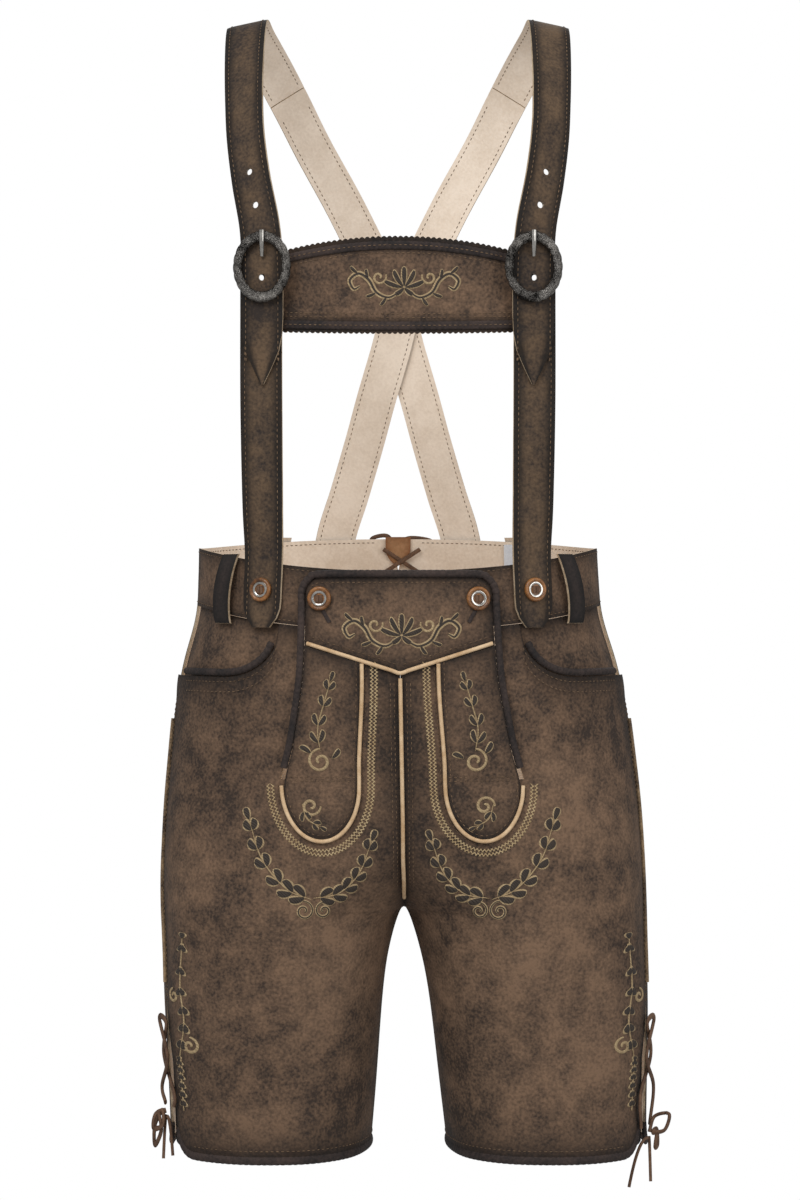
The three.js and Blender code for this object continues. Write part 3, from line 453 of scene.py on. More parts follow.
def border_distance(points):
    """How far each grid point is from the grid's nearest border, along its row and its column."""
    found = []
    for axis in (0, 1):
        steps = lengths(points, axis)
        run = np.concatenate([np.zeros_like(np.take(steps, [0], axis)), np.cumsum(steps, axis)], axis)
        found += [run, np.take(run, [-1], axis) - run]
    return np.minimum.reduce(found)


def cloth(name, spots, inner, outer, materials, nodes=(), keep=None, values=None, edge=None):
    """A closed wall over a grid of spots, from inner to outer mm off them: outer faces, the same faces
    turned round inside, and a rim along every edge of the kept cells."""
    points, normals = spots
    rows, columns = points.shape[:2]
    keep = np.ones((rows - 1, columns - 1), bool) if keep is None else keep
    number = np.arange(rows * columns).reshape(rows, columns)
    i, j = np.nonzero(keep)
    a, b, c, d = number[i, j], number[i, j + 1], number[i + 1, j + 1], number[i + 1, j]
    top = np.stack([a, b, c, d], 1)
    layer = rows * columns
    framed = np.pad(keep, 1)
    rims = []
    for (di, dj), (p, q) in zip(((-1, 0), (0, 1), (1, 0), (0, -1)), ((a, b), (b, c), (c, d), (d, a))):
        bare = ~framed[i + 1 + di, j + 1 + dj]
        rims.append(np.stack([q[bare], p[bare], p[bare] + layer, q[bare] + layer], 1))
    rims = np.concatenate(rims)
    faces = np.concatenate([top, top[:, ::-1] + layer, rims])
    kinds = np.repeat([0, 1, 2], [len(top), len(top), len(rims)])
    vertices = np.concatenate([points + normals * outer, points + normals * inner]).reshape(-1, 3)
    turn = np.cross(points[1, 0] - points[0, 0], points[0, 1] - points[0, 0]) @ normals[0, 0]
    if turn > 0:
        faces = faces[:, ::-1]
    used, faces = np.unique(faces, return_inverse=True)
    faces = faces.reshape(-1, 4)
    # painted shade: by default the edge value rises towards every border of the piece, darkening the hide
    # there, partly as worn darkening
    if edge is None:
        edge = 1.15 * np.exp(-border_distance(points) / 9)
    shown = {"edge": edge, **(values or {})}
    shown = {key: np.tile(np.asarray(value).ravel(), 2)[used] for key, value in shown.items()}
    obj = make_object(name, vertices[used], faces, materials, kinds, shown)
    declare(obj, nodes)


def declare(obj, nodes=()):
    """The piece rides on the one body and stands for its nodes."""
    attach(obj, "root")
    if nodes:
        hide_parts(*nodes)


def curve(points, count):
    """A Catmull-Rom curve through the points, at evenly spaced parameters."""
    p = np.asarray(points, float)
    p = np.vstack([2 * p[0] - p[1], p, 2 * p[-1] - p[-2]])
    t = np.linspace(0, len(p) - 3 - 1e-9, count)
    k = t.astype(int)
    f = (t - k)[:, None]
    a, b, c, d = p[k], p[k + 1], p[k + 2], p[k + 3]
    square, cube = 2 * a - 5 * b + 4 * c - d, 3 * b - a - 3 * c + d
    return 0.5 * (2 * b + (c - a) * f + square * f ** 2 + cube * f ** 3)


def even(points, spacing):
    """The same line at even steps of its length."""
    run = np.concatenate([[0], np.cumsum(lengths(points, 0))])
    at = np.linspace(0, run[-1], max(int(run[-1] / spacing), 2) + 1)
    return np.stack([np.interp(at, run, points[:, k]) for k in range(points.shape[1])], 1)


def frames(path, normals):
    """Three directions at each point of a path: along it, across it, and up, nearest to the normal."""
    along = unit(np.gradient(path, axis=0))
    across = unit(np.cross(along, normals))
    return along, across, np.cross(across, along)


PUCKER_STEP = 5


def tube(name, path, normals, radius, material, nodes=(), flat=1.0, sides=12, pucker=0.0):
    """A tube: rings of points at radius round each point of the path, flattened along the normals,
    drawn in by `pucker` at every PUCKER_STEP, and closed with a point at each end."""
    normals = np.broadcast_to(normals, path.shape)
    _, across, up = frames(path, normals)
    turn = np.linspace(0, 2 * np.pi, sides, endpoint=False)
    run = np.concatenate([[0], np.cumsum(lengths(path, 0))])
    size = radius * (1 - pucker * np.abs(np.cos(np.pi * run / PUCKER_STEP)) ** 6)[:, None, None]
    ring = path[:, None] + size * (np.cos(turn)[:, None] * across[:, None]
                                   + flat * np.sin(turn)[:, None] * up[:, None])
    count = len(path)
    number = np.arange(count * sides).reshape(count, sides)
    beside = np.roll(number, -1, 1)
    faces = np.stack([number[:-1], beside[:-1], beside[1:], number[1:]], -1).reshape(-1, 4)
    ends = [np.stack([beside[0], number[0], np.full(sides, count * sides)], 1),
            np.stack([number[-1], beside[-1], np.full(sides, count * sides + 1)], 1)]
    vertices = np.concatenate([ring.reshape(-1, 3), path[[0, -1]]])
    obj = make_object(name, vertices, [*faces, *ends[0], *ends[1]], [material],
                      values={"edge": np.zeros(count * sides + 2)})
    declare(obj, nodes)
    return obj


def stitches(name, lines, material=THREAD, long=3.2, gap=1.8, wide=0.45, slant=0.0):
    """Rows of short threads along lines of (path, normals): each thread is a spindle of three rings
    between two pointed ends, turned by `slant` from the line, to and fro."""
    sides = np.linspace(0, 2 * np.pi, 5, endpoint=False)
    stops = ((-0.5, 0), (-0.3, 0.8), (0, 1), (0.3, 0.8), (0.5, 0))
    shape = np.array([(s * long, r * wide * np.cos(t), r * wide * np.sin(t))
                      for s, r in stops for t in sides])
    number = np.arange(len(shape)).reshape(len(stops), len(sides))
    beside = np.roll(number, -1, 1)
    quads = np.stack([number[:-1], beside[:-1], beside[1:], number[1:]], -1).reshape(-1, 4)
    vertices = []
    for path, normals in lines:
        both = even(np.hstack([path, np.broadcast_to(normals, path.shape)]), long + gap)
        along, across, up = frames(both[:, :3], both[:, 3:])
        bend = slant * np.where(np.arange(len(along)) % 2, 1, -1)[:, None]
        ahead = unit(along * np.cos(bend) + across * np.sin(bend))
        aside = np.cross(up, ahead)
        base = np.stack([ahead, aside, up], 1)
        vertices.append(both[:, None, :3] + np.einsum("vk,nkc->nvc", shape, base))
    vertices = np.concatenate(vertices)
    starts = len(shape) * np.arange(len(vertices))
    faces = (quads[None] + starts[:, None, None]).reshape(-1, 4)
    obj = make_object(name, vertices.reshape(-1, 3), faces, [material])
    declare(obj)


# ---- legs ----

UPPER_ROWS, SEAT_ROWS, LEG_ROWS = 36, 26, 54


def panel_rows(top, hem):
    """Heights from a panel's top to its hem: even to the flap's base, then closest at the crotch."""
    upper, seat, leg = (np.linspace(0, 1, n + 1)[:, None] for n in (UPPER_ROWS, SEAT_ROWS, LEG_ROWS))
    return np.concatenate([lerp(top, FLAP_BASE_Z, upper),
                           lerp(CROTCH_Z, FLAP_BASE_Z, (1 - seat[1:]) ** 2) + 0 * top,
                           lerp(CROTCH_Z, hem, leg[1:] ** 1.6)])


def front_angle(in_flap, share, z):
    """A front's angle at a share of the way from the midline to the flap's slit, or from the slit to the
    side; below the flap's base the slit keeps its share of the width."""
    at = np.maximum(z, FLAP_BASE_Z)
    whole = side_edge(at, -1) - inner_angle(at, -1)
    slit = (angle_at(flap_half(at), at) - inner_angle(at, -1)) / whole
    place = np.where(in_flap, slit * share, lerp(slit + SLIT_SHARE, 1, share))
    return lerp(inner_angle(z, -1), side_edge(z, -1), place)


FLAP_COLUMNS, OUTER_COLUMNS = 18, 60


def leg_front(side, end):
    """A leg front: columns of equal shares, from the yoke's edge or the pocket mouth, whose height is
    found by repeating, down to the hem. The cells of the slit beside the flap are left out."""
    share = np.concatenate([np.linspace(0, 1, FLAP_COLUMNS + 1),
                            np.linspace(0, 1, OUTER_COLUMNS + 1) ** 1.3])
    in_flap = np.arange(len(share)) <= FLAP_COLUMNS
    top = np.full(share.shape, float(MOUTH_TOP_Z))
    for _ in range(12):
        x = surface(1, front_angle(in_flap, share, top), top)[:, 0] - lean(top)
        top = np.where(in_flap, yoke_edge(x) - SEAM, lerp(top, pocket_mouth(x), 0.8))
    z = panel_rows(top, hem_at(front_angle(in_flap, share, HEM_Z), HEM_Z))
    gape = POCKET_GAPE * smooth(86, 104, x) * smooth(30, 0, top - z)
    lift = np.where(in_flap, flap_lift(z), gape)
    spots = body_spot(side, front_angle(in_flap, share, z), z, lift)
    keep = np.ones((z.shape[0] - 1, z.shape[1] - 1), bool)
    keep[:UPPER_ROWS, FLAP_COLUMNS] = False
    # painted shade: darker towards the front's borders and seams, partly worn darkening
    edge = 1.2 * np.exp(-border_distance(spots[0]) / 13)
    cloth(f"cloth_front_{end}", spots, -LEATHER, 0, [SUEDE, INNER, CUT], [f"front_{end}"], keep,
          edge=edge)


def leg_back(side, end):
    """A leg back: columns of equal shares from the side to the midline or the inner leg seam."""
    share = np.linspace(0, 1, 49)

    def angle(z):
        return lerp(side_edge(z, 1), inner_angle(z, 1), share)

    z = panel_rows(band_top(angle(WAIST_Z - BAND)) - BAND - SEAM, hem_at(angle(HEM_Z), HEM_Z))
    cloth(f"cloth_back_{end}", body_spot(side, angle(z), z), -LEATHER, 0, [SUEDE, INNER, CUT],
          [f"back_{end}"])


def unit_grid(rows, columns):
    """u across and v along, both from 0 to 1."""
    return np.linspace(0, 1, columns + 1)[None, :], np.linspace(0, 1, rows + 1)[:, None]


def waistbands(side, end):
    """Two bands of one height below band_top; the back one stops at a V beside the midline."""
    u, v = unit_grid(14, 50)
    angle = lerp(inner_angle(WAIST_Z, -1), side_edge(WAIST_Z, -1), u)
    z = band_top(angle) - BAND * v
    cloth(f"cloth_waistband_front_{end}", body_spot(side, angle, z), -LEATHER, 0, [SUEDE, INNER, CUT],
          [f"waistband_front_{end}"])
    nominal = lerp(side_edge(WAIST_Z, 1), np.pi / 2, u)
    z = band_top(nominal) - BAND * v
    notch = SEAM / 2 + NOTCH_HALF * np.clip(1 - v * BAND / NOTCH_DEPTH, 0, 1)
    spots = body_spot(side, lerp(side_edge(z, 1), angle_at(notch, z, 1), u), z)
    cloth(f"cloth_waistband_back_{end}", spots, -LEATHER, 0, [SUEDE, INNER, CUT],
          [f"waistband_back_{end}"])


def flap_pieces():
    """The yoke, between the flap's top and the V, and two panels that end in a half ellipse."""
    u, v = unit_grid(24, 90)
    nominal = lerp(-1, 1, u) * flap_half(FLAP_TOP_Z)
    z = lerp(flap_top(nominal), yoke_edge(nominal) + SEAM, v)
    cloth("cloth_yoke", front_spot(lerp(-1, 1, u) * flap_half(z), z, FLAP_LIFT), -LEATHER, 0,
          [SUEDE, INNER, CUT], ["flap_yoke"])
    for side, end in SIDES:
        u, v = unit_grid(54, 30)
        top = yoke_edge(lerp(PANEL_INNER, flap_half(YOKE_POINT_Z), u)) - 2 * PIPING
        low = PANEL_BEND_Z - PANEL_ROUND * np.sqrt(np.clip(1 - (2 * u - 1) ** 2, 0, 1))
        z = lerp(top, low, v)
        outer = np.minimum(PANEL_OUTER, flap_half(z) - SEAM)
        spots = front_spot(side * lerp(panel_inner(z), outer, u), z, flap_lift(z))
        cloth(f"cloth_flap_panel_{end}", spots, LAYER, LAYER + LEATHER, [SUEDE, INNER, CUT],
              [f"flap_panel_{end}"])


def pocket_pieces(side, end):
    """A facing from the waistband to below the mouth, and a roll along the mouth's ellipse."""
    u, v = unit_grid(20, 40)
    nominal = lerp(angle_at(FACING_X, MOUTH_TOP_Z), side_edge(MOUTH_TOP_Z, -1), u)
    x = surface(1, nominal, MOUTH_TOP_Z)[..., 0] - lean(MOUTH_TOP_Z)
    z = lerp(band_top(nominal) - BAND - SEAM, pocket_mouth(x) - FACING_DEPTH, v)
    spots = body_spot(side, lerp(angle_at(FACING_X, z), side_edge(z, -1), u), z)
    cloth(f"cloth_pocket_facing_{end}", spots, INSIDE - LEATHER, INSIDE, [SUEDE, INNER, CUT],
          [f"pocket_facing_{end}"])
    off = ROLL + 4 * SEAM
    turn = np.arange(0.3, 1.4, 0.25)
    level = np.arange(MOUTH_CORNER_X, 174, 8)
    x = np.concatenate([MOUTH_CORNER_X - (MOUTH_WIDTH - off) * np.cos(turn), level])
    z = np.concatenate([MOUTH_TOP_Z - (MOUTH_DROP - off) * np.sin(turn),
                        np.full(len(level), MOUTH_TOP_Z - MOUTH_DROP + off)])
    laid(f"roll_pocket_{end}", side, angle_at(x, z), z, ROLL + SEAM, FULL_ROLL, DARK,
         [f"pocket_edge_{end}"], pucker=0.12)


def laid(name, side, angle, z, out, radius, material, nodes, pucker=0.0):
    """A tube whose middle line lies `out` off the body at the given angles and heights."""
    line = curve(np.stack(np.broadcast_arrays(angle, z, out), 1), 160)
    path, normals = body_spot(side, line[:, 0], line[:, 1], line[:, 2])
    tube(name, path, normals, radius, material, nodes, pucker=pucker)


def belt_loop(side, end, x, drift, face, name):
    """A strip down the waistband that drifts sideways and stands off it as sin^0.7 along it."""
    u, v = unit_grid(28, 8)
    z = (-441 if face < 0 else -424) - 56 * v + 0 * u
    bulge = 6 * np.sin(np.pi * v) ** 0.7
    spots = front_spot(side * (x + drift * v + lerp(-6, 6, u)), z, LAYER + bulge, face)
    cloth(f"cloth_{name}_{end}", spots, 0, STRAP_LEATHER, [DARK, INNER, CUT],
          [f"{name}_{end}"])


def hem_and_slit(side, end):
    """The hem's roll, round the leg from the slit's front edge to its back edge, the tongue behind the
    slit, and the piping in the side seam above it."""
    u = np.linspace(0, 2, 320)
    angle = np.where(u <= 1, lerp(side_edge(HEM_Z, -1), -np.pi, u), lerp(np.pi, side_edge(HEM_Z, 1), u - 1))
    path, normals = body_spot(side, angle, hem_at(angle, HEM_Z) - 2.2)
    tube(f"roll_hem_{end}", path - 0.6 * normals, normals, HEM_ROLL, DARK, [f"hem_{end}"],
         flat=0.6, pucker=0.1)
    u, v = unit_grid(40, 12)
    z = lerp(SLIT_TOP_Z + 8, HEM_Z, v)
    half = (SLIT_HALF + TONGUE_BESIDE) / section(z)[1]
    spots = body_spot(side, side_angle(z) + lerp(-half, half, u), z, INSIDE)
    cloth(f"cloth_slit_tongue_{end}", spots, -2 * LEATHER, -LEATHER, [DARK, INNER, CUT],
          [f"slit_tongue_{end}"])
    z = np.arange(-576, SLIT_TOP_Z + 2, -24.0)
    laid(f"piping_side_{end}_round", side, side_angle(z), z, LAYER + PIPING / 2, PIPING, BROWN_PIPING,
         [f"piping_side_{end}"])


# ---- pipings and bindings on the front ----

def front_line(points, lift, count=200):
    """A line through (x, z) points on the front, `lift(z)` above it: its path and normals."""
    line = curve(points, count)
    return front_spot(line[:, 0], line[:, 1], lift(line[:, 1]))


def u_shape(side, off):
    """The outline of a side panel of the flap, `off` outside it: straight sides and a half ellipse."""
    z = np.arange(yoke_edge(PANEL_INNER) - 4, PANEL_BEND_Z + 4, -16.0)
    turn = np.linspace(0, np.pi, 15)
    reach = PANEL_MIDDLE - PANEL_INNER + off
    x = np.concatenate([panel_inner(z) - off, PANEL_MIDDLE - reach * np.cos(turn)])
    z = np.concatenate([z, PANEL_BEND_Z - (PANEL_ROUND + off) * np.sin(turn)])
    return np.stack([side * x, z], 1)


def front_pipings():
    """Tubes along the panels' U, the yoke's V, the centre front seam, and round the flap."""

    def raised(z):
        return flap_lift(z) + LAYER + PIPING

    for side, end in SIDES:
        path, normals = front_line(u_shape(side, SEAM + PIPING), raised, 300)
        tube(f"piping_u_{end}", path, normals, PIPING, CREAM, [f"piping_panel_{end}"])
    x = np.array([-73, -50, -28, -8, 0, 8, 28, 50, 73.0])
    path, normals = front_line(np.stack([x, yoke_edge(x)], 1), raised, 120)
    tube("piping_v", path, normals, PIPING, CREAM, ["piping_yoke"])
    z = np.linspace(-540.2, -717, 90)
    point, normal = front_spot(np.zeros(90), z)
    out = unit(normal * (0, 1, 1))
    facing = np.linalg.norm(normal * (0, 1, 1), axis=1, keepdims=True)
    path = point + out * (flap_lift(z)[:, None] + (LAYER + PIPING) / facing)
    tube("piping_middle", path, out, PIPING, CREAM, ["piping_center"])
    off = SEAM + BINDING
    z = np.array([-612, -590, -565, -540, -515, -490, -478.0])
    turn = np.array([0.1, 0.5, 0.9, 1.3])
    corner = FLAP_CORNER + off
    x = np.concatenate([flap_half(z) + off, FLAP_LEVEL + corner * np.cos(turn), [40, 14]])
    z = np.concatenate([z, FLAP_TOP_Z - FLAP_CORNER + corner * np.sin(turn), [FLAP_TOP_Z + off] * 2])
    half = np.stack([x, z], 1)
    line = np.concatenate([half, half[::-1] * (-1, 1)])
    path, normals = front_line(line, lambda z: LAYER + BINDING + 0 * z, 420)
    tube("roll_flap", path, normals, FULL_BINDING, DARK, ["flap_binding"], pucker=0.12)


# ---- lacing ----

def slit_point(side, across, z, out):
    """A point beside the slit: across is -1 at its front eyelets and 1 at its back ones."""
    opening = SLIT_HALF * smooth(SLIT_TOP_Z, SLIT_TOP_Z - 60, np.asarray(z, float)) + EYELET_OFF
    return body_spot(side, side_angle(z) + across * opening / section(z)[1], z, out)[0]


# Side and its letter, height of the knot, each loop's direction and spread, and where the two free
# ends reach from the knot.
LEG_BOWS = (
    (-1, "r", -894, (((-9, -3, -14), (-4, 1, 4)), ((-6, 12, -30), (-4, 5, 1))),
     ((5, -3, -36), (-2, -5, -39))),
    (1, "l", -912, (((15, -2, 15), (-3, 2, 5)), ((4, 14, -12), (2, 4, 6))),
     ((-16, -3, -44), (1, -5, -40))))


def bow_path(knot, out, loops):
    """A thong that leaves the knot along each loop's direction and comes back beside itself."""
    path = [knot]
    for turn, (along, spread) in enumerate(loops):
        base = knot + out * turn * 3.2
        along, spread = np.array(along, float), np.array(spread, float)
        path += [base + along / 2 + spread, base + along + out, base + along / 2 - spread + 2 * out,
                 base + 3.2 * out]
    return curve(path, 120)


def lacing():
    """Each leg's thong over the slit, its bow and its two hanging ends, and the bow at the back. A free
    end falls as t and moves aside as sqrt(t)."""
    for side, end, knot_z, loops, ends in LEG_BOWS:
        low, high = LAYER + THONG + 1.3, LAYER + THONG + 4.1
        rows = ((-0.8, knot_z + 4, low), (-1, -880, low), (1, -852, low), (-1, -824, low),
                (1, -822, high), (-1, -850, high), (1, -878, high), (0.1, knot_z + 5, high))
        out = body_spot(side, side_angle(knot_z), knot_z)[1]
        path = curve([slit_point(side, *row) for row in rows], 200)
        tube(f"thong_leg_{end}", path, out, 2.6, LACE, [f"leg_lace_{end}"], flat=0.5)
        knot = slit_point(side, -0.3, knot_z, LAYER + THONG + 5.6)
        tube(f"thong_bow_{end}", bow_path(knot, out, loops), out, 2.4, LACE, [f"leg_bow_{end}"],
             flat=0.6)
        for k, drop in enumerate(ends):
            start = knot + (0, 3 if k else -3, -4) + out * (k - 1)
            t = np.linspace(0, 1, 30)[:, None]
            path = start + np.hstack([drop[0] * np.sqrt(t), drop[1] * t, (drop[2] + 4) * t])
            letter = "ab"[k]
            obj = tube(f"thong_end_{end}_{letter}", path, out, THONG, LACE,
                       [f"lace_end_{end}_{letter}"])
    knot, normal = front_spot(-3.0, WAIST_Z + 4.0, LAYER + THONG, 1)
    loops = (((-20, 0, 6), (3, 0, 6)), ((32, -2, 4), (-3, 0, 5)))
    tube("thong_back_bow", bow_path(knot, normal, loops), normal, 1.8, LACE, ["back_bow"],
         flat=0.6)


def back_inside():
    """Behind the back waistband: a shield that narrows to a point, a blank label and a crossed thong."""
    u, v = unit_grid(24, 14)
    wide = 11 * np.sqrt(1 - 0.97 * np.clip((v - 0.45) / 0.55, 0, 1) ** 1.5)
    z = lerp(WAIST_Z + 12, WAIST_Z - 12, v) + 0 * u
    cloth("cloth_gusset", front_spot(lerp(-wide, wide, u), z, 0.0, 1), INSIDE - LEATHER, INSIDE,
          [TAN, TAN, CUT], ["back_gusset"])
    u, v = unit_grid(10, 16)
    spots = front_spot(lerp(93, 130, u) + 0 * v, lerp(-430, -452, v) + 0 * u, 0.0, 1)
    cloth("cloth_label", spots, INSIDE - 1, INSIDE, [LABEL, LABEL, LABEL], ["size_label"])
    middle = front_spot(0.0, WAIST_Z - 9.0, INSIDE - LEATHER - LAYER - 0.9, 1)[0]
    for k, name in ((1, "thong_cross_a"), (-1, "thong_cross_b")):
        path = middle + (3, -0.6 * k, 0) + np.linspace(-1, 1, 20)[:, None] * (16, 0, 10.5 * k)
        tube(name, path, np.array([0, -1.0, 0]), 1.8, LACE, ["back_lace"] if k > 0 else (),
             flat=0.4)


# ---- straps and chest piece ----

ROUTE_STEPS = 4000


def strap_stations(route, count, side, start=0.0, end=1.0, lift=0.0):
    """Points, across and outward directions along a route: across is +X less its part along the strap,
    turned about the strap, and the strap is moved back by `lift` where it crosses the other."""
    line = curve(route, ROUTE_STEPS + 1)
    t = lerp(start, end, np.linspace(0, 1, count + 1))
    at = (t * ROUTE_STEPS).astype(int)
    along = unit(np.gradient(line[:, :3], axis=0))[at]
    point, turn = line[at, :3], np.radians(line[at, 3])[:, None]
    across = unit(np.array([1.0, 0, 0]) - along * along[:, :1])
    across = across * np.cos(turn) + np.cross(along, across) * np.sin(turn)
    normal = np.cross(along, across)
    outwards = np.stack([0 * t, point[:, 1], 2 * np.maximum(0, point[:, 2] + 60)], 1)
    normal *= np.where((normal * outwards).sum(1) < 0, -1, 1)[:, None]
    point[:, 1] += lift * np.exp(-((point[:, 2] - CROSS_Z) / CROSS_REACH) ** 4)
    mirror = np.array([side, 1, 1])
    return point * mirror, across * mirror, normal * mirror


STRAP_COLUMNS = 13
STITCH_INSET = 13.2  # from a strap's middle line to each row of stitches


def strap(name, stations, half, node, material=STRAP, inner=INNER_STRAP):
    """A strap as wide as 2 half at each station, bent down by 0.5 |u|^6 towards its edges."""
    point, across, normal = stations
    u = np.linspace(-1, 1, STRAP_COLUMNS)
    place = point[:, None] + across[:, None] * (u[:, None] * np.asarray(half)[:, None, None])
    place = place - normal[:, None] * (0.5 * np.abs(u[:, None]) ** 6)
    rows = np.repeat(point[:, None, 2], STRAP_COLUMNS, 1)
    wide = u[None] * np.asarray(half)[:, None]
    # painted shade: darker towards the strap's two long edges, partly worn darkening
    edge = 1.3 * smooth(0.3, 0.95, np.abs(u))[None] + 0 * wide
    spots = place, np.repeat(normal[:, None], STRAP_COLUMNS, 1)
    cloth(name, spots, 0, STRAP_LEATHER, [material, inner, CUT], [node],
          values={"across": wide, "height": rows}, edge=edge)
    lines = []
    clear = slice(6, -2)
    for aside in (-STITCH_INSET, STITCH_INSET):
        for out in (STRAP_LEATHER + 0.1, -0.1):
            path = point[clear] + across[clear] * aside + normal[clear] * out
            lines.append((path, normal[clear]))
    stitches(f"stitches_{name}", lines, DARK_THREAD, long=2.8, gap=1.6, wide=0.4)


def straps():
    """Each side's front strap with its pointed tip, back strap, and lower strap with its end tab."""
    join = STRAP_JOIN / (len(STRAP_ROUTE) - 1)
    for side, end in SIDES:
        k = np.arange(161)
        tip = STRAP_HALF * np.interp(k, [0, 4, 8, 12, 16], [0.06, 0.45, 0.8, 0.96, 1])
        strap(f"cloth_strap_front_{end}", strap_stations(STRAP_ROUTE, 160, side, 0, join), tip,
              f"strap_front_{end}")
        raised = CROSS_PASS if side < 0 else 0.0
        strap(f"cloth_strap_back_{end}", strap_stations(STRAP_ROUTE, 140, side, join + 0.001, 1, raised),
              np.full(141, float(STRAP_HALF)), f"strap_back_{end}", BACK_STRAP, INNER_BACK_STRAP)
        tab = STRAP_HALF * np.interp(np.arange(97), [0, 4, 8, 12], [0.45, 0.8, 0.97, 1])
        strap(f"cloth_strap_lower_{end}", strap_stations(LOWER_ROUTE, 96, side), tab,
              f"strap_lower_{end}")


def bib_spot(x, z, out=0.0):
    """A spot on the chest piece, which follows an ellipse round the wearer."""
    x, z = np.broadcast_arrays(np.asarray(x, float), np.asarray(z, float))
    y = -BIB_DEPTH * np.sqrt(1 - (x / BIB_ROUND) ** 2)
    normal = unit(np.stack([x / BIB_ROUND ** 2, y / BIB_DEPTH ** 2, 0 * x], -1))
    return np.stack([x, y, z], -1) + normal * np.asarray(out)[..., None], normal


def bib_edges(x):
    """The heights of its top and bottom edges, bent as x^2."""
    bend = (x / BIB_HALF) ** 2
    return BIB_TOP_Z - BIB_TOP_FALL * bend, BIB_LOW_Z + BIB_LOW_RISE * bend


def chest_piece():
    """The chest piece, its edges pinked by |sin|, with two dark rolls and rows of stitches."""
    u, v = unit_grid(26, 320)
    x = lerp(-BIB_HALF, BIB_HALF, u)
    high, low = bib_edges(x)
    scallop = PINKING * np.abs(np.sin(x * np.pi / PINKING_STEP))
    z = lerp(high + scallop - PINKING, low - scallop + PINKING, v)
    # painted shade: darker within 18 mm of the top and bottom edges, beside the dark rolls, partly worn
    # darkening
    edge = 1.2 * np.maximum(smooth(high - 18, high - 6, z), smooth(low + 18, low + 6, z))
    cloth("cloth_bib", bib_spot(x + 0 * v, z), -LEATHER, 0, [SUEDE, INNER, CUT], ["bib"],
          edge=edge)
    x = np.linspace(-96.5, 96.5, 200)
    high, low = bib_edges(x)
    for name, z in (("roll_bib_top", high - 7.5), ("roll_bib_bottom", low + 6.5)):
        path, normals = bib_spot(x, z, 0.9)
        tube(name, path, normals, 3.4, DARK, flat=0.35, pucker=0.08)
    lines = [bib_spot(x, z, 0.25) for z in (high - 13.5, low + 13, low + 16)]
    lines += [bib_spot(x, z, 2.2) for z in (high - 7.5, low + 6.5)]
    stitches("stitches_bib", lines, DARK_THREAD, long=2.6, gap=1.5, wide=0.38)


# ---- metal and horn ----

def buckle(side, end):
    """A cast oval: an ellipse swept by a rim whose height carries leaves in two rows and a bead line."""
    turn = np.linspace(0, 2 * np.pi, 240, endpoint=False)[:, None]
    ring = np.linspace(0, 2 * np.pi, 40, endpoint=False)[None, :]
    leaves = np.abs(np.sin(11 * turn + 1.3 * np.cos(ring))) ** 0.7
    relief = 1 + 0.16 * leaves * (np.sin(ring) > -0.2) - 0.18 * np.exp(-(np.cos(ring) / 0.13) ** 2)
    wide = 3.5 * relief * np.cos(ring)
    deep = 2.6 * relief * np.sin(ring)
    x = (BUCKLE_RING + wide) * np.cos(turn) * BUCKLE_WIDE
    z = (BUCKLE_RING + wide) * np.sin(turn) * BUCKLE_TALL
    tilt = np.radians(BUCKLE_TURN) * side
    y = -deep
    place = np.stack([side * BUCKLE_X + x * np.cos(tilt) - y * np.sin(tilt),
                      BUCKLE_Y + x * np.sin(tilt) + y * np.cos(tilt), BUCKLE_Z + z], -1)
    number = np.arange(place.shape[0] * place.shape[1]).reshape(place.shape[:2])
    right, ahead = np.roll(number, -1, 1), np.roll(number, -1, 0)
    faces = np.stack([number, right, np.roll(right, -1, 0), ahead], -1).reshape(-1, 4)
    obj = make_object(f"cast_buckle_{end}", place.reshape(-1, 3), faces, [SILVER], sharp=1.2)
    declare(obj, [f"buckle_{end}"])
    rows = ((-110.4, 9), (-113.8, 13.5), (-116.4, 20), (-116.6, 28.5))
    pin = curve([(side * BUCKLE_X, y, BUCKLE_Z + z) for y, z in rows], 40)
    tube(f"bright_pin_{end}", pin, np.array([side * 0.2, -1.0, 0.3]), 1.9, BRIGHT,
         [f"buckle_pin_{end}"], flat=0.8, sides=16)


# Profiles of a button's horn rim and its silver ring, as (radius, height).
RIM_PROFILE = ((0, 0.2), (9.2, 0.2), (9.6, 0.8), (9.6, 2.4), (9.2, 3.2), (8.4, 3.6), (7.4, 3.4), (6.5, 2.6),
               (6.2, 2.2), (0, 2.2))
RING_PROFILE = ((4.2, 2.1), (6.3, 2.1), (6.5, 2.6), (6.1, 3.1), (5.2, 3.2), (4.4, 2.8), (4.2, 2.1))
TURNED_SIDES = 48


def turned(name, profile, base, normal, material, nodes=()):
    """A profile of (radius, height) turned round the normal."""
    profile = np.array(profile, float)
    turn = np.linspace(0, 2 * np.pi, TURNED_SIDES, endpoint=False)
    aside = unit(np.cross(normal, (0, 0, 1.0)))
    above = np.cross(aside, normal)
    round_it = np.cos(turn)[:, None] * aside + np.sin(turn)[:, None] * above
    rings = base + profile[:, 1, None, None] * normal + profile[:, 0, None, None] * round_it
    number = np.arange(len(profile) * TURNED_SIDES).reshape(-1, TURNED_SIDES)
    right = np.roll(number, -1, 1)
    faces = np.stack([number[:-1], right[:-1], right[1:], number[1:]], -1).reshape(-1, 4)
    obj = make_object(name, rings.reshape(-1, 3), faces, [material])
    declare(obj, nodes)


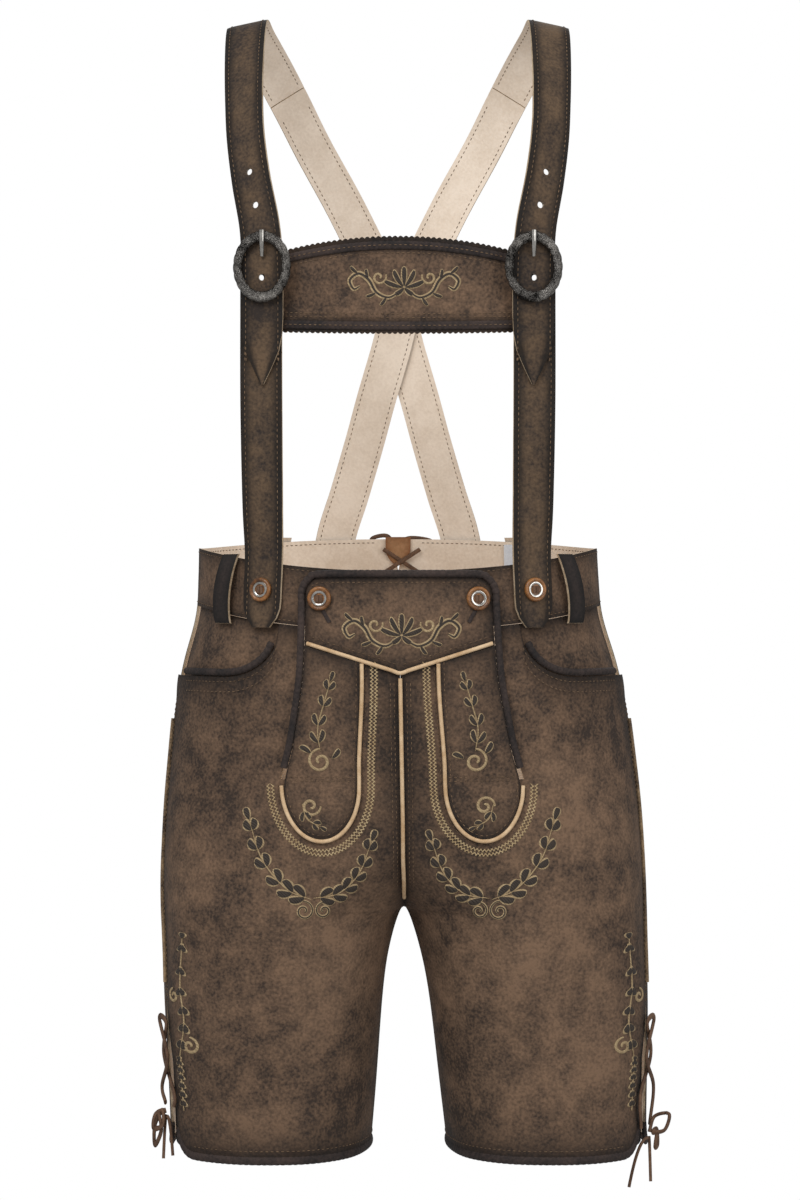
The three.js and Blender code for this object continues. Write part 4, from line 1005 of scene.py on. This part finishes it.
def button(node, base, normal):
    """A horn rim, a silver ring in it, and a square of two flat thongs in the middle."""
    turned(f"horn_{node}", RIM_PROFILE, base, normal, HORN, [node])
    turned(f"ring_{node}", RING_PROFILE, base, normal, BRIGHT)
    aside = unit(np.cross(normal, (0, 0, 1.0)))
    for k, shift in enumerate((-1.5, 1.5)):
        upward = np.linspace(-2.8, 2.8, 12)[:, None] * np.cross(aside, normal)
        path = base + normal * 3.0 + aside * shift + upward
        tube(f"thong_{node}_{k}", path, normal, 1.4, LACE, flat=0.5)


def buttons():
    """Two on the flap, and one on each end of the straps."""
    for side, end in SIDES:
        point, normal = front_spot(side * 62.5, -477.0, FLAP_LIFT + LAYER)
        button(f"button_flap_{end}", point, normal)
        for node, route, z, flip in ((f"button_strap_{end}", LOWER_ROUTE, -470, 1),
                                     (f"button_back_{end}", STRAP_ROUTE[-5:], -454, -1)):
            point, _, normal = strap_stations(route, 400, side * flip)
            near = np.abs(point[:, 2] - z).argmin()
            button(node, point[near] + normal[near] * (STRAP_LEATHER + LAYER), normal[near])


# ---- stitch lines ----

def level_lift(lift):
    """The same lift at every height, just off the leather."""
    return lambda z: lift + SKIN + 0 * z


def seam_lines():
    """Fine stitches along every seam and edge, slanted ones beside the U pipings, and buttonholes."""

    def raised(z):
        return flap_lift(z) + SKIN

    def on_panel(z):
        return flap_lift(z) + LAYER + LEATHER + SKIN

    fine, zigzag = [], []
    for side in (-1, 1):
        z = np.linspace(-545, -708, 12)
        for off in (5, 8):
            fine.append(front_line(np.stack([0 * z + side * off, z], 1), raised, 200))
        for off in (5, -2.5):
            fine.append(front_line(u_shape(side, off), on_panel if off < 0 else raised, 260))
        for off in (9.6, 13.0):
            zigzag.append(front_line(u_shape(side, off), raised, 260))
        x = np.linspace(38, 88, 12)
        for z in (-619.0, -622.0):
            fine.append(front_line(np.stack([side * x, 0 * x + z], 1), on_panel, 80))
        x = np.concatenate([np.linspace(98, 140, 12), np.linspace(145, 172, 6)])
        for off in (4, 12):
            line = np.stack([side * x, pocket_mouth(x) - off], 1)
            fine.append(front_line(line, level_lift(POCKET_GAPE), 160))
        angle = np.linspace(inner_angle(BAND_MIDDLE_Z, -1), side_edge(BAND_MIDDLE_Z, -1), 120)
        for drop in (3, BAND - 3):
            fine.append(body_spot(side, angle, band_top(angle) - drop, SKIN))
        angle = np.linspace(side_edge(BAND_MIDDLE_Z, 1) + 0.02, 1.45, 120)
        for drop in (3, BAND - 3):
            fine.append(body_spot(side, angle, band_top(angle) - drop, SKIN))
            fine.append(body_spot(side, angle, band_top(angle) - drop, -LEATHER - SKIN))
        for start, stop in ((side_edge(HEM_Z, -1) - 0.32, -np.pi), (np.pi, side_edge(HEM_Z, 1) + 0.32)):
            fine.append(body_spot(side, np.linspace(start, stop, 160), HEM_Z + 5.5, SKIN))
        z = np.linspace(-560, SLIT_TOP_Z, 80)
        for off in (-0.03, 0.03):
            fine.append(body_spot(side, side_angle(z) + off, z, SKIN))
    x = np.linspace(-68, 68, 60)
    fine.append(front_line(np.stack([x, yoke_edge(x) + 6], 1), level_lift(FLAP_LIFT), 200))
    fine.append(front_line(np.stack([x, flap_top(x) - 4], 1), level_lift(FLAP_LIFT), 200))
    stitches("stitches_seams", fine, DARK_THREAD, long=2.6, gap=1.6, wide=0.36)
    stitches("stitches_zigzag", zigzag, long=4.6, gap=-3.1, wide=0.42, slant=0.8)
    for side, end in SIDES:
        x = side * np.linspace(61, 55, 20)
        path, normals = front_spot(x, np.linspace(-485, -496, 20), FLAP_LIFT + 0.5)
        tube(f"buttonhole_{end}", path, normals, 1.6, DARK, flat=0.5)


# ---- embroidery: flat shapes in (x, z), laid on a surface ----

class Motif:
    """Leaves and stems as grids of (x, z, height, edge) that are joined into one piece."""

    def __init__(self):
        self.grids = []

    def ribbon(self, points, half, tip=0.3, count=60):
        """A stem: points offset by up to `half` to both sides of a smooth line, thin at its ends. A thin
        one is thread all over, and a wide one has a dark middle."""
        line = curve(points, count)
        along = unit(np.gradient(line, axis=0))
        side = np.stack([-along[:, 1], along[:, 0]], 1)
        t = np.linspace(0, 1, count)[:, None]
        width = half * (tip + (1 - tip) * np.sin(np.pi * t) ** 0.5)
        u = np.linspace(-1, 1, 5)[None]
        place = line[:, None] + side[:, None] * (width * u)[..., None]
        height = 0.7 * (1 - u * u) + 0 * width
        rim = 0.8 if half < 1.3 else 0.1 + 0.9 * np.abs(u)
        self.grids.append(np.dstack([place, height, rim + 0 * height]))

    def leaf(self, base, angle, long, wide, bend=0.25):
        """A teardrop: its width runs as t^0.8 (1 - t)^0.45 along a bent middle line, domed across."""
        t = np.linspace(0, 1, 17)[:, None]
        u = np.linspace(-1, 1, 9)[None]
        width = 1.9 * wide * t ** 0.8 * (1 - t) ** 0.45
        ahead = long * t + 0 * u
        aside = width * u + bend * long * t * t
        cos, sin = np.cos(angle), np.sin(angle)
        rim = np.maximum(np.abs(u) ** 2 + 0 * t, np.abs(2 * t - 1) ** 6 + 0 * u)
        height = 0.9 * (1 - u * u) * np.sin(np.pi * t) ** 0.5
        self.grids.append(np.dstack([base[0] + ahead * cos - aside * sin,
                                     base[1] + ahead * sin + aside * cos, height, rim]))

    def scroll(self, centre, radius, start, turns, half=1.0):
        """A spiral stem: radius falls evenly with the angle."""
        t = np.linspace(0, 1, 40)
        angle = start + 2 * np.pi * turns * t
        reach = radius * (1 - 0.85 * t)
        points = np.stack([centre[0] + reach * np.cos(angle), centre[1] + reach * np.sin(angle)], 1)
        self.ribbon(points, half, 0.6, 80)

    def spray(self, points, long, wide, pairs, spread=0.75):
        """A stem with a leaf to each side at even steps, and one at its end."""
        self.ribbon(points, 0.6)
        line = curve(points, 200)
        for k in range(pairs):
            at = int(199 * (k + 0.5) / pairs)
            ahead = line[min(at + 3, 199)] - line[max(at - 3, 0)]
            angle = np.arctan2(ahead[1], ahead[0])
            size = long * (1 - 0.35 * k / pairs)
            self.leaf(line[at], angle + spread, size, wide, -0.25)
            self.leaf(line[at], angle - spread, size, wide, 0.25)
        ahead = line[199] - line[190]
        self.leaf(line[199], np.arctan2(ahead[1], ahead[0]), long * 0.8, wide * 0.8, 0)

    def palmette(self, x, z, size):
        """A flower of five petals between two S-scrolls, with smaller leaves below."""
        petals = ((0, 17), (0.8, 16), (-0.8, 16), (1.5, 17), (-1.5, 17), (2.5, 10), (-2.5, 10))
        for angle, long in petals:
            self.leaf((x, z - 4 * size), np.pi / 2 + angle, long * size, 3.1 * size,
                      -0.25 * np.sign(angle))
        for way in (-1, 1):
            spots = [(2, -6), (12, -12), (22, -8), (28, 2), (36, 7), (43, 2), (40, -5), (35, -3)]
            self.ribbon([(x + way * a * size, z + b * size) for a, b in spots], 2.3 * size, 0.3, 90)
            self.scroll((x + way * 20 * size, z + 4 * size), 6 * size, np.pi / 2 + way * 1.2,
                        way * 1.2, size)
            for (a, b), angle in (((22, -8), -0.6), ((28, 2), 1.1), ((36, 7), 0.5), ((14, -11), -1.2)):
                turn = angle if way > 0 else np.pi - angle
                self.leaf((x + way * a * size, z + b * size), turn, 9 * size, 2.2 * size, 0.2 * way)

    def build(self, name, place):
        """All the grids as one piece; place(x, z, height) gives the points on its surface."""
        vertices, faces, start = [], [], 0
        for grid in self.grids:
            rows, columns = grid.shape[:2]
            number = np.arange(rows * columns).reshape(rows, columns) + start
            quads = [number[:-1, :-1], number[:-1, 1:], number[1:, 1:], number[1:, :-1]]
            faces.append(np.stack(quads, -1).reshape(-1, 4))
            vertices.append(grid.reshape(-1, 4))
            start += rows * columns
        flat = np.concatenate(vertices)
        points = place(flat[:, 0], flat[:, 1], flat[:, 2])
        obj = make_object(name, points, np.concatenate(faces), [FLORAL], values={"edge": flat[:, 3]})
        declare(obj)


THREAD_OFF = 0.15  # embroidery lies this far off the leather


def on_front(lift):
    """A place on the front, lift(z) off the body."""
    return lambda x, z, height: front_spot(x - lean(z), z, lift(z) + THREAD_OFF + height)[0]


def embroidery():
    """The motifs: one flower each on the chest piece and the yoke, sprigs on the flap's panels, garlands
    below them, and a sprig in front of each slit, drawn in degrees round the leg and height."""
    bib = Motif()
    bib.palmette(5, -226, 1.0)
    bib.build("embroidery_bib", lambda x, z, height: bib_spot(x, z, THREAD_OFF + height)[0])
    yoke = Motif()
    yoke.palmette(3, -502, 1.05)
    yoke.build("embroidery_yoke", on_front(lambda z: FLAP_LIFT + 0 * z))
    panels, legs = Motif(), Motif()
    shift = 3.0
    for way in (-1, 1):
        panels.spray([(way * 61, -598), (way * 63, -580), (way * 58, -560), (way * 53, -543)], 11, 3.3, 4)
        panels.scroll((way * 61, -606), 10, np.pi / 2, -way * 1.4, 1.2)
        panels.leaf((way * 68, -600), np.pi / 2 - way * 0.8, 11, 3.4, 0.2)
        panels.leaf((way * 52, -604), np.pi / 2 + way * 0.9, 10, 3.2, 0.2)
        panels.scroll((way * 69, -642), 8, 0, way * 1.3, 1.2)
        panels.spray([(way * 76, -640), (way * 72, -652), (way * 62, -658)], 8, 2.8, 2)
        garland = [(way * 122, -654), (way * 112, -684), (way * 92, -708), (way * 72, -717)]
        legs.spray([(x + shift, z) for x, z in garland[::-1]], 13.5, 5.0, 6)
        rising = [(way * 70, -716), (way * 50, -712), (way * 34, -696), (way * 24, -670)]
        legs.spray([(x + shift, z) for x, z in rising], 12.5, 4.8, 6)
        legs.scroll((way * 78 + shift, -726), 8, np.pi / 2, way * 1.4, 1.3)
        legs.scroll((way * 62 + shift, -726), 7, np.pi / 2, -way * 1.4, 1.3)
    panels.build("embroidery_panels", on_front(lambda z: flap_lift(z) + LAYER + LEATHER))
    legs.build("embroidery_legs", on_front(flap_lift))
    for side, end in SIDES:
        sprig = Motif()
        sprig.spray([(-38, -848), (-42, -820), (-38, -790), (-40, -752)], 6.5, 5.5, 6)
        sprig.scroll((-47, -838), 7, np.pi / 2, 1.3, 1.2)
        sprig.scroll((-31, -800), 6, np.pi / 2, -1.3, 1.2)
        sprig.spray([(-40, -892), (-39, -870), (-37, -852)], 5, 4.6, 6, 0.5)
        sprig.build(f"embroidery_side_{end}", lambda x, z, height: body_spot(
            side, np.radians(x), z, THREAD_OFF + height)[0])


# ---- stage, light and camera ----

CAMERA_PLACE, CAMERA_LENS = (0.0017, -2.4, -0.478), 86.4


def set_stage():
    """A white world, three large lights and a level camera in front."""
    scene = bpy.context.scene
    scene.view_settings.view_transform = "Standard"
    world = bpy.data.worlds.new("soft_white")
    world.use_nodes = True
    scene.world = world
    tree = world.node_tree
    back = next(n for n in tree.nodes if n.type == "BACKGROUND")
    seen = add_node(tree, "ShaderNodeLightPath").outputs["Is Camera Ray"]
    strength = add_node(tree, "ShaderNodeMapRange", {0: seen, 3: 0.42, 4: 1.0}).outputs[0]
    tree.links.new(strength, back.inputs["Strength"])
    back.inputs["Color"].default_value = (1, 1, 1, 1)
    for name, place, power, size in (("key", (-1.2, -2.4, 1.6), 52, 1.6),
                                     ("fill", (1.9, -2.0, 0.2), 20, 1.8),
                                     ("back", (0.4, 2.6, 1.4), 30, 1.6)):
        light = bpy.data.lights.new(name, "AREA")
        light.energy = power
        light.size = size
        obj = bpy.data.objects.new(name, light)
        obj.location = place
        away = np.array(place) - (0, 0, -0.5)
        obj.rotation_euler = (float(np.arccos(away[2] / np.linalg.norm(away))), 0,
                              float(np.arctan2(away[1], away[0]) + np.pi / 2))
        bpy.context.collection.objects.link(obj)
    camera = bpy.data.cameras.new("camera")
    camera.lens = CAMERA_LENS
    camera.sensor_width = 36
    obj = bpy.data.objects.new("camera", camera)
    obj.location = CAMERA_PLACE
    obj.rotation_euler = (np.pi / 2, 0, 0)
    bpy.context.collection.objects.link(obj)
    scene.camera = obj


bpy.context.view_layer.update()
set_stage()
for side, end in SIDES:
    leg_front(side, end)
    leg_back(side, end)
    waistbands(side, end)
    pocket_pieces(side, end)
    belt_loop(side, end, 133, 8, -1, "belt_loop_front")
    belt_loop(side, end, 98, 2, 1, "belt_loop_back")
    hem_and_slit(side, end)
    buckle(side, end)
flap_pieces()
front_pipings()
back_inside()
lacing()
straps()
chest_piece()
buttons()
seam_lines()
embroidery()
